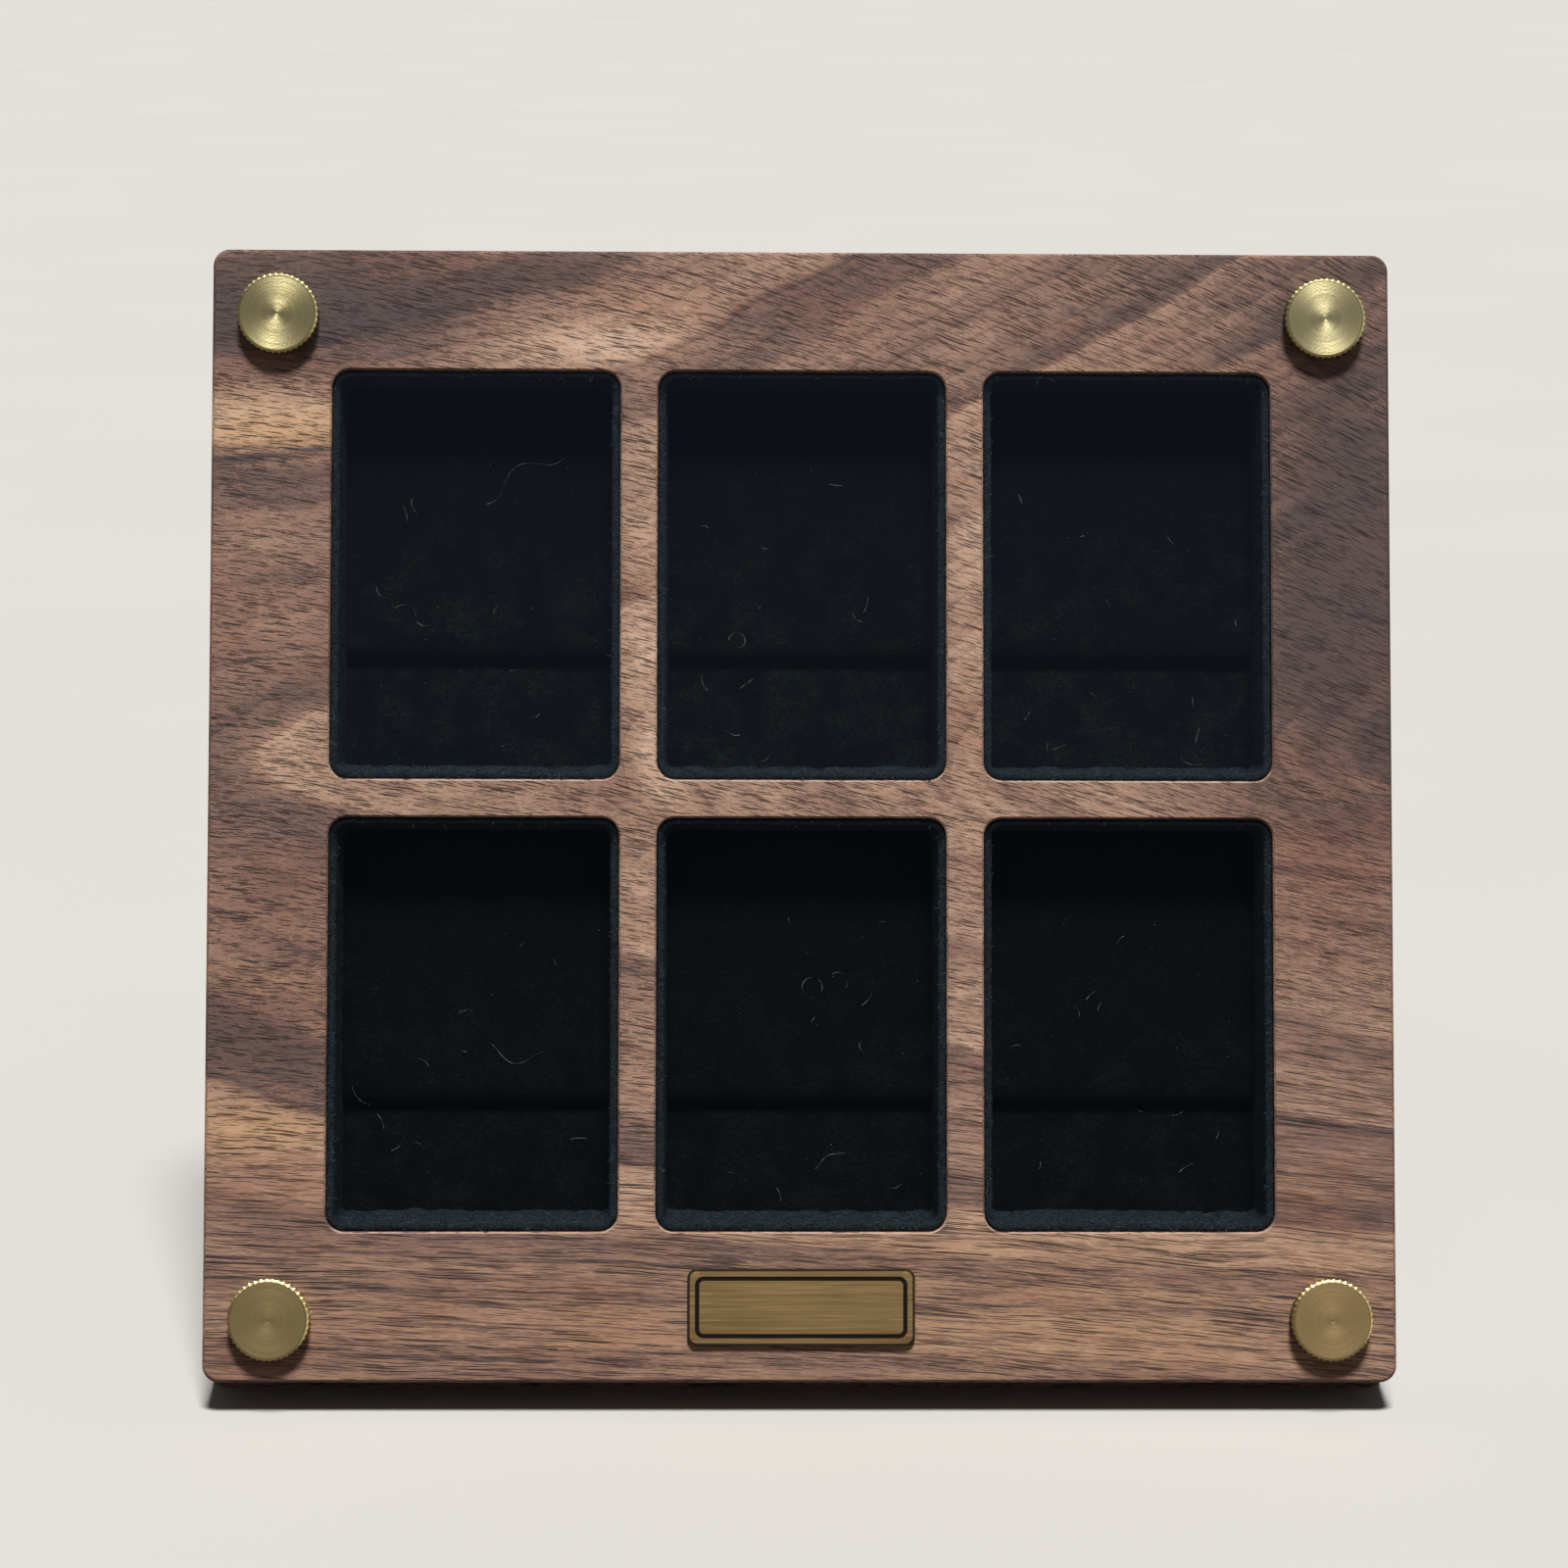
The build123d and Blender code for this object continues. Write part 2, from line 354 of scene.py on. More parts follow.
@dataclass(frozen=True)
class CaseAxes:
    """Axes of the leaned case: X across, Y up its front and Z out of its front face.

    Their zero is the middle of the front face's lower edge.
    """

    to_frame: Matrix

    @classmethod
    def of(cls, joint_name: str, face_node: str) -> "CaseAxes":
        """Finds the axes from the frame.

        Args:
            joint_name: Joint that moves straight out of the front face.
            face_node: Node that holds the front face.

        Returns:
            The axes of the case at rest.
        """
        out = Vector(next(joint["axis"] for joint in frame["joints"] if joint["name"] == joint_name))
        across = Vector((1.0, 0.0, 0.0))
        turn = Matrix((across, out.cross(across), out)).transposed().to_4x4()
        low, high = cls(turn).box(face_node)
        return cls(turn @ Matrix.Translation(((low.x + high.x) / 2, low.y, high.z)))

    @property
    def from_frame(self) -> Matrix:
        """Turns a place in the frame into one in these axes."""
        return self.to_frame.inverted()

    def box(self, node: str) -> tuple[Vector, Vector]:
        """Lowest and highest corner of a CAD node along these axes."""
        back = self.from_frame
        places = [back @ vertex.co for vertex in frame["nodes"][node].data.vertices]
        low = Vector(min(place[axis] for place in places) for axis in range(3))
        high = Vector(max(place[axis] for place in places) for axis in range(3))
        return low, high


case = CaseAxes.of("frame_lift", "front_frame")


def merged_copy(node: str) -> BMesh:
    """Copies a CAD node's mesh, with its doubles merged and its flat faces joined.

    Args:
        node: Name of the CAD node.

    Returns:
        The copy, in the axes of the frame.
    """
    shape = bmesh.new()
    shape.from_mesh(frame["nodes"][node].data)
    bmesh.ops.remove_doubles(shape, verts=shape.verts, dist=WELD_DISTANCE)
    bmesh.ops.dissolve_limit(shape, angle_limit=FLAT_ANGLE, verts=shape.verts, edges=shape.edges)
    return shape


def soften(shape: BMesh, width: float) -> None:
    """Rounds the sharp edges of a closed shape.

    Args:
        shape: Shape to round.
        width: How far the rounding reaches from an edge.
    """
    sharp = [edge for edge in shape.edges if edge.is_manifold and edge.calc_face_angle() > SHARP_ANGLE]
    bmesh.ops.bevel(
        shape, geom=sharp, offset=width, segments=ROUND_SEGMENTS, profile=ROUND_PROFILE, affect="EDGES",
        material=-1, clamp_overlap=True,
    )


def jitter(shape: BMesh, amount: float, size: float, seed: Vector) -> None:
    """Moves the vertices a little, by a soft random pattern.

    Args:
        shape: Shape to move.
        amount: Farthest that a vertex moves.
        size: Distance over which the pattern changes.
        seed: Place in the pattern, so that like pieces differ.
    """
    for vertex in shape.verts:
        place = vertex.co / size + seed
        vertex.co += Vector(noise.noise(place + offset) for offset in JITTER_OFFSETS) * amount


def add_panel(shape: BMesh, low: Vector, high: Vector, radius: float, segments: int) -> BMFace:
    """Adds a flat face with round corners, facing out at the height of its highest corner.

    Args:
        shape: Shape to add to.
        low: Lowest corner of the panel's box.
        high: Highest corner of the panel's box.
        radius: Radius of the round corners.
        segments: Facets in each corner.

    Returns:
        The new face.
    """
    before = set(shape.faces)
    verts = bmesh.ops.create_grid(shape, x_segments=1, y_segments=1, size=0.5)["verts"]
    bmesh.ops.scale(shape, vec=(high.x - low.x, high.y - low.y, 1.0), verts=verts)
    bmesh.ops.translate(shape, vec=((low.x + high.x) / 2, (low.y + high.y) / 2, high.z), verts=verts)
    bmesh.ops.bevel(
        shape, geom=verts, offset=radius, offset_type="OFFSET", segments=segments, profile=ROUND_PROFILE,
        affect="VERTICES", material=-1,
    )
    return next(face for face in shape.faces if face not in before)


def push_out(shape: BMesh, faces: list[BMFace]) -> tuple[list[BMVert], BMFace]:
    """Extrudes faces together, and leaves none of the old ones inside a closed shape.

    Args:
        shape: Shape that the faces belong to.
        faces: Faces that share a height.

    Returns:
        The new vertices, and one of the new faces.
    """
    edges = dict.fromkeys(edge for face in faces for edge in face.edges)
    grown = bmesh.ops.extrude_face_region(shape, geom=[*faces, *edges])["geom"]
    verts = [item for item in grown if isinstance(item, BMVert)]
    return verts, next(item for item in grown if isinstance(item, BMFace))


def slice_at(
    shape: BMesh, point: tuple[float, float, float], facing: tuple[float, float, float],
    trim: bool = False,
) -> None:
    """Cuts a shape's faces along a plane.

    Args:
        shape: Shape to cut.
        point: Point on the plane.
        facing: Direction that the plane faces.
        trim: Whether what lies ahead of the plane is dropped.
    """
    everything = shape.verts[:] + shape.edges[:] + shape.faces[:]
    bmesh.ops.bisect_plane(
        shape, geom=everything, dist=WELD_DISTANCE, plane_co=point, plane_no=facing, clear_outer=trim
    )


def linked(name: str, data: bpy.types.ID) -> bpy.types.Object:
    """Adds an object to the scene.

    Args:
        name: Name of the object.
        data: Its mesh, camera or lamp.

    Returns:
        The new object.
    """
    made = bpy.data.objects.new(name, data)
    bpy.context.scene.collection.objects.link(made)
    return made


@dataclass(frozen=True)
class Piece:
    """What a finished shape is called and what it belongs to."""

    name: str
    body: str
    slot: str
    stands_for: tuple[str, ...]

    def add(
        self, shape: BMesh, finish: bpy.types.Material, place: Matrix, crease: float = SHARP_ANGLE
    ) -> bpy.types.Object:
        """Turns a shape into an object that rides on its body.

        Args:
            shape: Finished shape, which is freed.
            finish: Its material.
            place: Moves the shape into the frame.
            crease: Angle from which an edge stays sharp.

        Returns:
            The new object.
        """
        bmesh.ops.transform(shape, matrix=place, verts=shape.verts)
        for face in shape.faces:
            face.smooth = True
        for edge in shape.edges:
            edge.smooth = not edge.is_manifold or edge.calc_face_angle() < crease
        mesh = bpy.data.meshes.new(self.name)
        shape.to_mesh(mesh)
        shape.free()
        mesh.materials.append(finish)
        made = linked(self.name, mesh)
        shading = made.modifiers.new("even_shading", "WEIGHTED_NORMAL")
        shading.keep_sharp = True
        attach(made, self.body)
        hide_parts(*self.stands_for)
        LOG.info("%s: %d faces on %s", self.name, len(mesh.polygons), self.body)
        return made

    def add_copy(self, finish: bpy.types.Material, rounding: float) -> None:
        """Stands a soft-edged copy in for the piece's one CAD node.

        Args:
            finish: Its material.
            rounding: How far the rounding reaches from an edge.
        """
        shape = merged_copy(self.stands_for[0])
        soften(shape, rounding)
        self.add(shape, finish, Matrix.Identity(4))


class Figure(Enum):
    """How a board was cut, which gives its figure."""

    CATHEDRAL = "cathedral"
    STRAIGHT = "straight"


@dataclass(frozen=True)
class Patch:
    """A soft lighter, darker, redder or more golden place in the wood, in millimetres on the board."""

    across: float
    up: float
    wide: float
    high: float
    tone: float
    red: float = 0.0
    gold: float = 0.0


@dataclass(frozen=True)
class Walnut:
    """Oiled walnut, with figure bands, growth lines and open pores. Its lengths are in millimetres.

    A cathedral board has a tongue of pale wood that points to the right, with its tip at one height.
    """

    name: str
    to_board: Matrix
    figure: Figure
    patches: tuple[Patch, ...] = ()
    tip_height: float = 89.0
    tip_round: float = 15.0
    board_left: float = -84.0
    upper_rise: float = 0.38
    upper_wave: float = 8.4
    upper_wave_reach: float = 38.2
    lower_rise: float = 0.3
    lower_bend: float = 0.0003
    tongue_slope: float = 0.3
    tongue_shifts: tuple[float, float] = (32.0, 11.0)
    straight_pitch: float = 3.6
    straight_slant: float = 0.04
    straight_shifts: tuple[float, float] = (60.0, 14.0)
    straight_wander: float = 2.0
    slant: float = 0.26
    slant_bend: float = 0.0011
    wander: float = 1.8
    ring_span: float = 400.0
    depth_shift: float = 2.0
    line_width: float = 11.0
    line_share: float = 0.14
    band_share: float = 0.35
    fibre_share: float = 0.34
    fleck_share: float = 0.42
    mottle_share: float = 0.4
    lift: float = 0.03
    pore_shear: float = 0.64
    pore_share: float = 0.9
    window_reach: float = 72.0
    window_low: float = 15.0
    window_high: float = 150.0
    # Each layer of pores: spots in a millimetre along and athwart the grain, reach and depth of a dash.
    pore_layers: tuple[tuple[float, float, float, float], ...] = (
        (0.26, 3.8, 0.48, 1.0), (0.42, 5.0, 0.5, 0.95), (0.8, 7.2, 0.48, 0.65),
    )
    rings: tuple[tuple[float, float], ...] = (
        (-262.0, 0.46), (-226.0, 0.38), (-224.0, 0.54), (-192.0, 0.42), (-190.0, 0.5), (-156.0, 0.32),
        (-153.0, 0.62), (-122.0, 0.72), (-110.0, 0.56), (-107.0, 0.3), (-78.0, 0.26), (-75.0, 0.54),
        (-38.0, 0.42), (-35.0, 0.5), (-8.0, 0.38), (-1.0, 0.3), (2.0, 0.6), (30.0, 0.52),
        (48.0, 0.4), (51.0, 0.64), (94.0, 0.46), (97.0, 0.6), (144.0, 0.4), (147.0, 0.56),
        (205.0, 0.32), (208.0, 0.5), (238.0, 0.34), (241.0, 0.46), (262.0, 0.4),
    )
    tones: tuple[tuple[float, str], ...] = (
        (0.0, "3c2e2b"), (0.25, "695048"), (0.5, "927160"), (0.75, "b39079"), (1.0, "d1ae96"),
    )
    shadow_tone: str = "5a4b4a"
    red_tone: str = "8a5841"
    gold_tone: str = "c39763"
    pore_tone: str = "1a100e"
    raw_edge_and_highlight_tone: str = "b39683"
    broad_grain: Grain = Grain((0.012, 0.02, 0.03), 1.0)
    small_grain: Grain = Grain((0.04, 0.1, 0.1), 1.0)
    wander_grain: Grain = Grain((0.04, 0.08, 0.08))
    crowd_grain: Grain = Grain((0.05, 0.25, 0.25))
    band_grain: Grain = Grain(0.06)
    uneven_grain: Grain = Grain(0.04, 1.0)
    fibre_grain: Grain = Grain((0.5, 7.0, 7.0), rough=0.6)
    mottle_grain: Grain = Grain((0.1, 0.25, 0.25), 3.0, 0.6)
    fleck_grain: Grain = Grain((2.2, 7.0, 7.0), 1.0)
    streak_grain: Grain = Grain((0.07, 2.0, 2.0), rough=0.6)
    red_grain: Grain = Grain((0.03, 0.06, 0.06))
    chip_grain: Grain = Grain((0.55, 1.0, 2.0), 3.0)

    def _field(self, tree: Tree, place: Signal) -> Signal:
        """Value that is level along the growth rings, in millimetres along the board."""
        x, y, z = tree.parts(place)
        broad = tree.noise(place, self.broad_grain) - 0.5
        small = tree.noise(place, self.small_grain) - 0.5
        if self.figure is Figure.STRAIGHT:
            broad_shift, small_shift = self.straight_shifts
            level = self.straight_pitch * (y - self.straight_slant * x)
            level = level + broad_shift * broad + small_shift * small + self.depth_shift * z
            return (level / self.ring_span).saw() * self.ring_span - self.ring_span / 2
        broad_shift, small_shift = self.tongue_shifts
        off = y - self.tip_height
        along = x - self.board_left
        upper = self.upper_rise * along - self.upper_wave * (along / self.upper_wave_reach).sine()
        lower = self.lower_rise * along - self.lower_bend * along * along
        below = (0.0 - off).between(0.0, 25.0)
        rise = (upper + (lower - upper) * below) * (0.15 + 0.85 * y.between(2.0, 45.0))
        spread = (off * off + self.tip_round ** 2).root() - self.tip_round
        level = (rise - spread) / self.tongue_slope + broad_shift * broad + small_shift * small
        return level + self.depth_shift * z

    def _lane(self, tree: Tree, place: Signal) -> Signal:
        """Place with its height measured along the wandering grain."""
        x, y, z = tree.parts(place)
        wander = tree.noise(place, self.wander_grain) - 0.5
        if self.figure is Figure.STRAIGHT:
            return tree.vector(x, y + self.straight_wander * wander, z)
        slant = (self.slant * x + self.slant_bend * x * x) * (0.2 + 0.8 * y.between(15.0, 120.0))
        drawn = x * (0.4 + 0.6 * y.between(22.0, 60.0))
        return tree.vector(drawn, y + slant + self.wander * wander, z)

    def _pores(self, tree: Tree, lane: Signal) -> Signal:
        """Open pores, as short and long dark dashes."""
        crowd = tree.noise(lane, self.crowd_grain) - 0.5
        pores = crowd * 0.0
        x, y, z = tree.parts(lane)
        for along, athwart, reach, depth in self.pore_layers:
            spots = tree.vector(along * x + self.pore_shear * athwart * y, athwart * y, athwart * z)
            near, shade = tree.cells(spots)
            dashes = (reach * (0.1 + 0.9 * shade) + 0.28 * crowd - near).between(0.0, 0.08)
            pores = pores.most(depth * dashes)
        return pores

    def _tint(self, tree: Tree, place: Signal, tone: Signal) -> Signal:
        """Colour of the wood for its tone, with its lighter, darker, redder and more golden places."""
        x, y, _ = tree.parts(place)
        red = tree.noise(place, self.red_grain).between(0.45, 0.75) * 0.32
        gold = red * 0.0
        for patch in self.patches:
            off = ((x - patch.across) / patch.wide) ** 2.0 + ((y - patch.up) / patch.high) ** 2.0
            spread = off.falloff()
            tone = tone + patch.tone * spread
            red = red + patch.red * spread
            gold = gold + patch.gold * spread
        colour = tree.ramp(tone, self.tones)
        colour = tree.mix(colour, self.red_tone, red.least(0.6).most(0.0))
        colour = tree.mix(colour, self.gold_tone, gold.least(0.6) * tone.between(0.2, 0.8))
        greyness = (0.42 - tone).between(0.0, 0.5)
        return tree.mix(colour, self.shadow_tone, 0.55 * greyness)

    def material(self) -> bpy.types.Material:
        """Builds the finish."""
        tree = Tree.of_material(self.name)
        place = tree.axes(self.to_board)
        ring = self._field(tree, place)
        band = tree.noise_along(ring, self.band_grain)
        uneven = tree.noise_along(ring, self.uneven_grain)
        line = (ring / self.line_width + 1.5 * uneven).saw() ** 4.0
        lane = self._lane(tree, place)
        pores = self._pores(tree, lane)
        fibre = tree.noise(lane, self.fibre_grain)
        mottle = tree.noise(place, self.mottle_grain)
        tone = tree.levels(ring, self.rings) + self.band_share * (band - 0.5)
        tone = tone - self.line_share * line + self.lift
        flecks = tree.noise(lane, self.fleck_grain)
        tone = tone + self.fibre_share * (fibre - 0.5) + self.fleck_share * (flecks - 0.5)
        tone = tone + self.mottle_share * (mottle - 0.5)
        streak = tree.noise(lane, self.streak_grain).between(0.5, 0.72)
        height = tree.parts(place)[1]
        tone = tone - (0.12 + 0.26 * (55.0 - height).between(0.0, 40.0)) * streak
        colour = self._tint(tree, place, tone)
        colour = tree.mix(colour, self.pore_tone, self.pore_share * pores)
        colour = self._raw_edges_and_highlight(tree, colour, place)
        hills = 0.5 * fibre - 0.8 * pores + 0.2 * mottle
        return tree.dress(
            base_color=colour,
            roughness=0.52 + 0.18 * fibre + 0.15 * pores,
            specular_ior_level=0.35,
            normal=tree.bump(hills, 0.08, 0.8),
        )

    def _raw_edges_and_highlight(self, tree: Tree, colour: Signal, place: Signal) -> Signal:
        """Lays bare pale wood along the lower edge of each window, on faces that look up, so it is partly a
        painted highlight.
        """
        if self.figure is not Figure.CATHEDRAL:
            return colour
        normal = tree.out("ShaderNodeTexCoord", {}, {}, "Normal")
        inputs = {"Vector": normal, "Rotation": self.to_board.to_euler("XYZ")}
        facing = tree.out("ShaderNodeMapping", {"vector_type": "VECTOR"}, inputs)
        # Partly painted highlight: the pale raw wood shows only on faces that look up towards the light.
        up = tree.parts(facing)[1].between(0.2, 0.6)
        x, y, z = tree.parts(place)
        inside = (self.window_reach - abs(x)).between(0.0, 1.0) * (y - self.window_low).between(0.0, 1.0)
        inside = inside * (self.window_high - y).between(0.0, 1.0)
        chips = tree.noise(place, self.chip_grain)
        shallow = (0.9 * (chips - 0.32) + z).between(-0.02, 0.05)
        return tree.mix(colour, self.raw_edge_and_highlight_tone, up * inside * shallow)


@dataclass(frozen=True)
class Velvet:
    """Near-black velvet with a short pile, crushed here and there.

    A faint even bloom stands for the light that the tips of the pile pass on into their own shade.
    Heights are in millimetres.
    """

    name: str
    seed: float
    dark_tone: str = "030304"
    pile_tone: str = "07090c"
    worn_tone: str = "191f20"
    bloom_tone: str = "0c0f13"
    gloss_tone: str = "b4cfe0"
    sheen_tone: str = "7f97a3"
    sheen: float = 0.02
    wear: float = 1.0
    top: float = 1000.0
    top_shade: tuple[float, float] = (5.0, 1.5)
    top_wear_shade: tuple[float, float] = (40.0, 14.0)
    drag: float = 1.0
    pile_grain: Grain = Grain(3.4, rough=0.65)
    worn_grain: Grain = Grain(0.17, 3.0, 0.65)
    curl_grains: tuple[tuple[Grain, float], ...] = (
        (Grain(0.75, 1.5, twist=2.2), 1.0), (Grain(1.3, 1.5, twist=2.2), 0.8),
    )

    def material(self) -> bpy.types.Material:
        """Builds the finish."""
        tree = Tree.of_material(self.name)
        place = tree.axes(Matrix.Translation(Vector((self.seed, 0.0, 0.0))) @ case.from_frame)
        height = tree.parts(place)[1]
        place = tree.stretched(place, (1.0, 1.0, self.drag))
        pile = tree.noise(place, self.pile_grain)
        worn = tree.noise(place, self.worn_grain).between(0.35, 0.72)
        curls = worn * 0.0
        for grain, share in self.curl_grains:
            swirl = tree.noise(place, grain)
            curls = curls.most(share * (1.0 - 10.0 * abs(swirl - 0.5)).most(0.0))
        level = 0.3 + 1.3 * (pile - 0.5) + 0.3 * curls
        level = level * (1.0 - 0.9 * height.between(*(self.top - drop for drop in self.top_shade)))
        colour = tree.mix(self.dark_tone, self.pile_tone, level.between(0.0, 1.0))
        # Painted shade: the lighter crushed patches fade out towards the top of the pocket, where the
        # pocket's top wall casts its shadow.
        wear_outside_shade = 1.0 - 0.75 * height.between(*(self.top - drop for drop in self.top_wear_shade))
        crushed = worn * wear_outside_shade * (0.9 * curls + 0.6 * (pile - 0.42)).between(0.0, 1.0)
        colour = tree.mix(colour, self.worn_tone, self.wear * crushed)
        hills = 0.5 * pile + 0.5 * curls
        return tree.dress(
            base_color=colour,
            roughness=0.85,
            specular_ior_level=0.05,
            specular_tint=linear(self.gloss_tone),
            sheen_weight=self.sheen,
            sheen_roughness=0.5,
            sheen_tint=linear(self.sheen_tone),
            emission_color=linear(self.bloom_tone),
            emission_strength=1.0,
            normal=tree.bump(hills, 0.2, 0.9),
        )


@dataclass(frozen=True)
class Lint:
    """Pale dust and stray fibre."""

    name: str
    dark_tone: str = "4a5454"
    tone: str = "939c99"
    grain: Grain = Grain(0.9, 1.0)

    def material(self) -> bpy.types.Material:
        """Builds the finish."""
        tree = Tree.of_material(self.name)
        shade = tree.noise(tree.axes(case.from_frame), self.grain)
        colour = tree.mix(self.dark_tone, self.tone, shade.between(0.35, 0.65))
        return tree.dress(base_color=colour, roughness=0.9, specular_ior_level=0.2)


@dataclass(frozen=True)
class TurnedBrass:
    """Bare brass faced on a lathe, with fine rings about its own centre.

    Its edge has a painted highlight on one side and painted shade on the other. Lengths are in millimetres.
    """

    name: str
    to_centre: Matrix
    tone: str
    scratches: float
    roughness: float
    face_radius: float
    face_edge_line_width: float = 0.06
    light_side_aim: tuple[float, float] = (0.55, 0.8)
    stain_tone: str = "4a3d20"
    rim_lit_tone: str = "ead995"
    rim_shaded_tone: str = "6d5e3a"
    ring_grain: Grain = Grain(9.0, 3.0)
    fine_grain: Grain = Grain(30.0, 1.0)
    broad_grain: Grain = Grain(2.2, 1.0)
    dull_grain: Grain = Grain(0.22)
    mark_grain: Grain = Grain((0.5, 9.0, 2.0), 1.0)
    speck_scale: float = 1.3

    def material(self) -> bpy.types.Material:
        """Builds the finish."""
        tree = Tree.of_material(self.name)
        place = tree.axes(self.to_centre)
        x, y, _ = tree.parts(place)
        radius = (x * x + y * y).root()
        rings = tree.noise_along(radius, self.ring_grain)
        fine = tree.noise_along(radius, self.fine_grain)
        broad = tree.noise_along(radius, self.broad_grain)
        dull = tree.noise(place, self.dull_grain)
        near, shade = tree.cells(place, self.speck_scale)
        specks = (0.12 * shade - near).between(0.0, 0.05)
        marks = tree.noise(place, self.mark_grain).between(0.68, 0.74)
        shading = 0.3 * dull + 0.3 * (fine - 0.5) + 0.35 * (broad - 0.5) + self.scratches * marks * 0.3
        # A thin darker ring along the step at the edge of the faced top.
        face_edge_line = (1.0 - abs(radius - self.face_radius) / self.face_edge_line_width).most(0.0)
        shading = shading + 0.6 * specks + 0.5 * face_edge_line
        rim = (radius - self.face_radius).between(0.08, 0.2)
        # Painted highlight and shade: the rim is lighter on the side towards the light and darker on the
        # other.
        light_side = ((self.light_side_aim[0] * x + self.light_side_aim[1] * y) / radius).between(-0.25, 0.45)
        colour = tree.mix(self.tone, tree.mix(self.rim_shaded_tone, self.rim_lit_tone, light_side), 0.9 * rim)
        colour = tree.mix(colour, self.stain_tone, shading.most(0.0).least(1.0))
        hills = 0.7 * rings + 0.3 * fine - 0.5 * self.scratches * marks
        return tree.dress(
            base_color=colour,
            metallic=1.0,
            roughness=self.roughness + 0.1 * dull - 0.12 * rim * light_side,
            normal=tree.bump(hills, 0.012, 0.8),
        )


@dataclass(frozen=True)
class PlainBrass:
    """Brass from the rolling mill, a little dulled and scratched."""

    name: str
    tone: str = "cdb070"
    dull_tone: str = "96804c"
    drawn_grain: Grain = Grain((0.4, 9.0, 9.0))
    dull_grain: Grain = Grain(0.3, 4.0, 0.6)

    def material(self) -> bpy.types.Material:
        """Builds the finish."""
        tree = Tree.of_material(self.name)
        place = tree.axes(case.from_frame)
        drawn = tree.noise(place, self.drawn_grain)
        dull = tree.noise(place, self.dull_grain)
        return tree.dress(
            base_color=tree.mix(self.tone, self.dull_tone, dull.between(0.3, 0.7)),
            metallic=1.0,
            roughness=0.28 + 0.15 * dull,
            normal=tree.bump(drawn, 0.01, 0.6),
        )


@dataclass(frozen=True)
class BrushedPlate:
    """Antique brass sheet, brushed along its length, with a dark line inside its edge and painted shade along
    the edge itself.

    Lengths are in millimetres.
    """

    name: str
    middle: Vector
    half_width: float
    half_height: float
    corner: float
    line_inset: float
    line_width: float
    line_corner: float
    rim_shade_width: float = 0.36
    rim_shade_blur: float = 0.06
    line_blur: tuple[float, float] = (-0.05, 0.02)
    tone: str = "745c3b"
    bright_tone: str = "9c845a"
    line_tone: str = "150e0b"
    brushed_grain: Grain = Grain((0.04, 3.0, 1.0), rough=0.6)
    fine_grain: Grain = Grain((0.15, 8.0, 1.0), 1.0)
    shift_grain: Grain = Grain((0.06, 0.12, 1.0), 1.0)
    glint_grain: Grain = Grain((0.1, 5.0, 1.0), 0.0)

    def _inside(self, x: Signal, y: Signal, inset: float, corner: float) -> Signal:
        """How far a place lies inside a rounded outline set in from the plate's edge."""
        past_x = abs(x - self.middle.x / MM) - (self.half_width - inset - corner)
        past_y = abs(y - self.middle.y / MM) - (self.half_height - inset - corner)
        over_x = past_x.most(0.0)
        over_y = past_y.most(0.0)
        return corner - (over_x * over_x + over_y * over_y).root() - past_x.most(past_y).least(0.0)

    def material(self) -> bpy.types.Material:
        """Builds the finish."""
        tree = Tree.of_material(self.name)
        place = tree.axes(case.from_frame)
        x, y, _ = tree.parts(place)
        inside = self._inside(x, y, self.line_inset, self.line_corner)
        line = inside.between(*self.line_blur) * (self.line_width - inside).between(*self.line_blur)
        from_edge = self._inside(x, y, 0.0, self.corner)
        # Painted shade: a dark band along the plate's own edge stands for the shade round it.
        rim = (self.rim_shade_width - from_edge).between(-self.rim_shade_blur, self.rim_shade_blur)
        brushed, fine, shift, glints = (
            tree.noise(place, grain)
            for grain in (self.brushed_grain, self.fine_grain, self.shift_grain, self.glint_grain)
        )
        level = 0.4 + 0.7 * (brushed - 0.5) + 0.5 * (fine - 0.5) + 0.4 * (shift - 0.5)
        level = level + 0.7 * glints.between(0.74, 0.8)
        colour = tree.mix(self.tone, self.bright_tone, level.between(0.1, 0.9))
        dark = line.most(0.92 * rim)
        return tree.dress(
            base_color=tree.mix(colour, self.line_tone, dark),
            metallic=1.0 - 0.9 * dark,
            roughness=0.42 + 0.12 * fine,
            specular_ior_level=0.1,
            normal=tree.bump(brushed * 0.5 + fine * 0.5, 0.008, 0.6),
        )


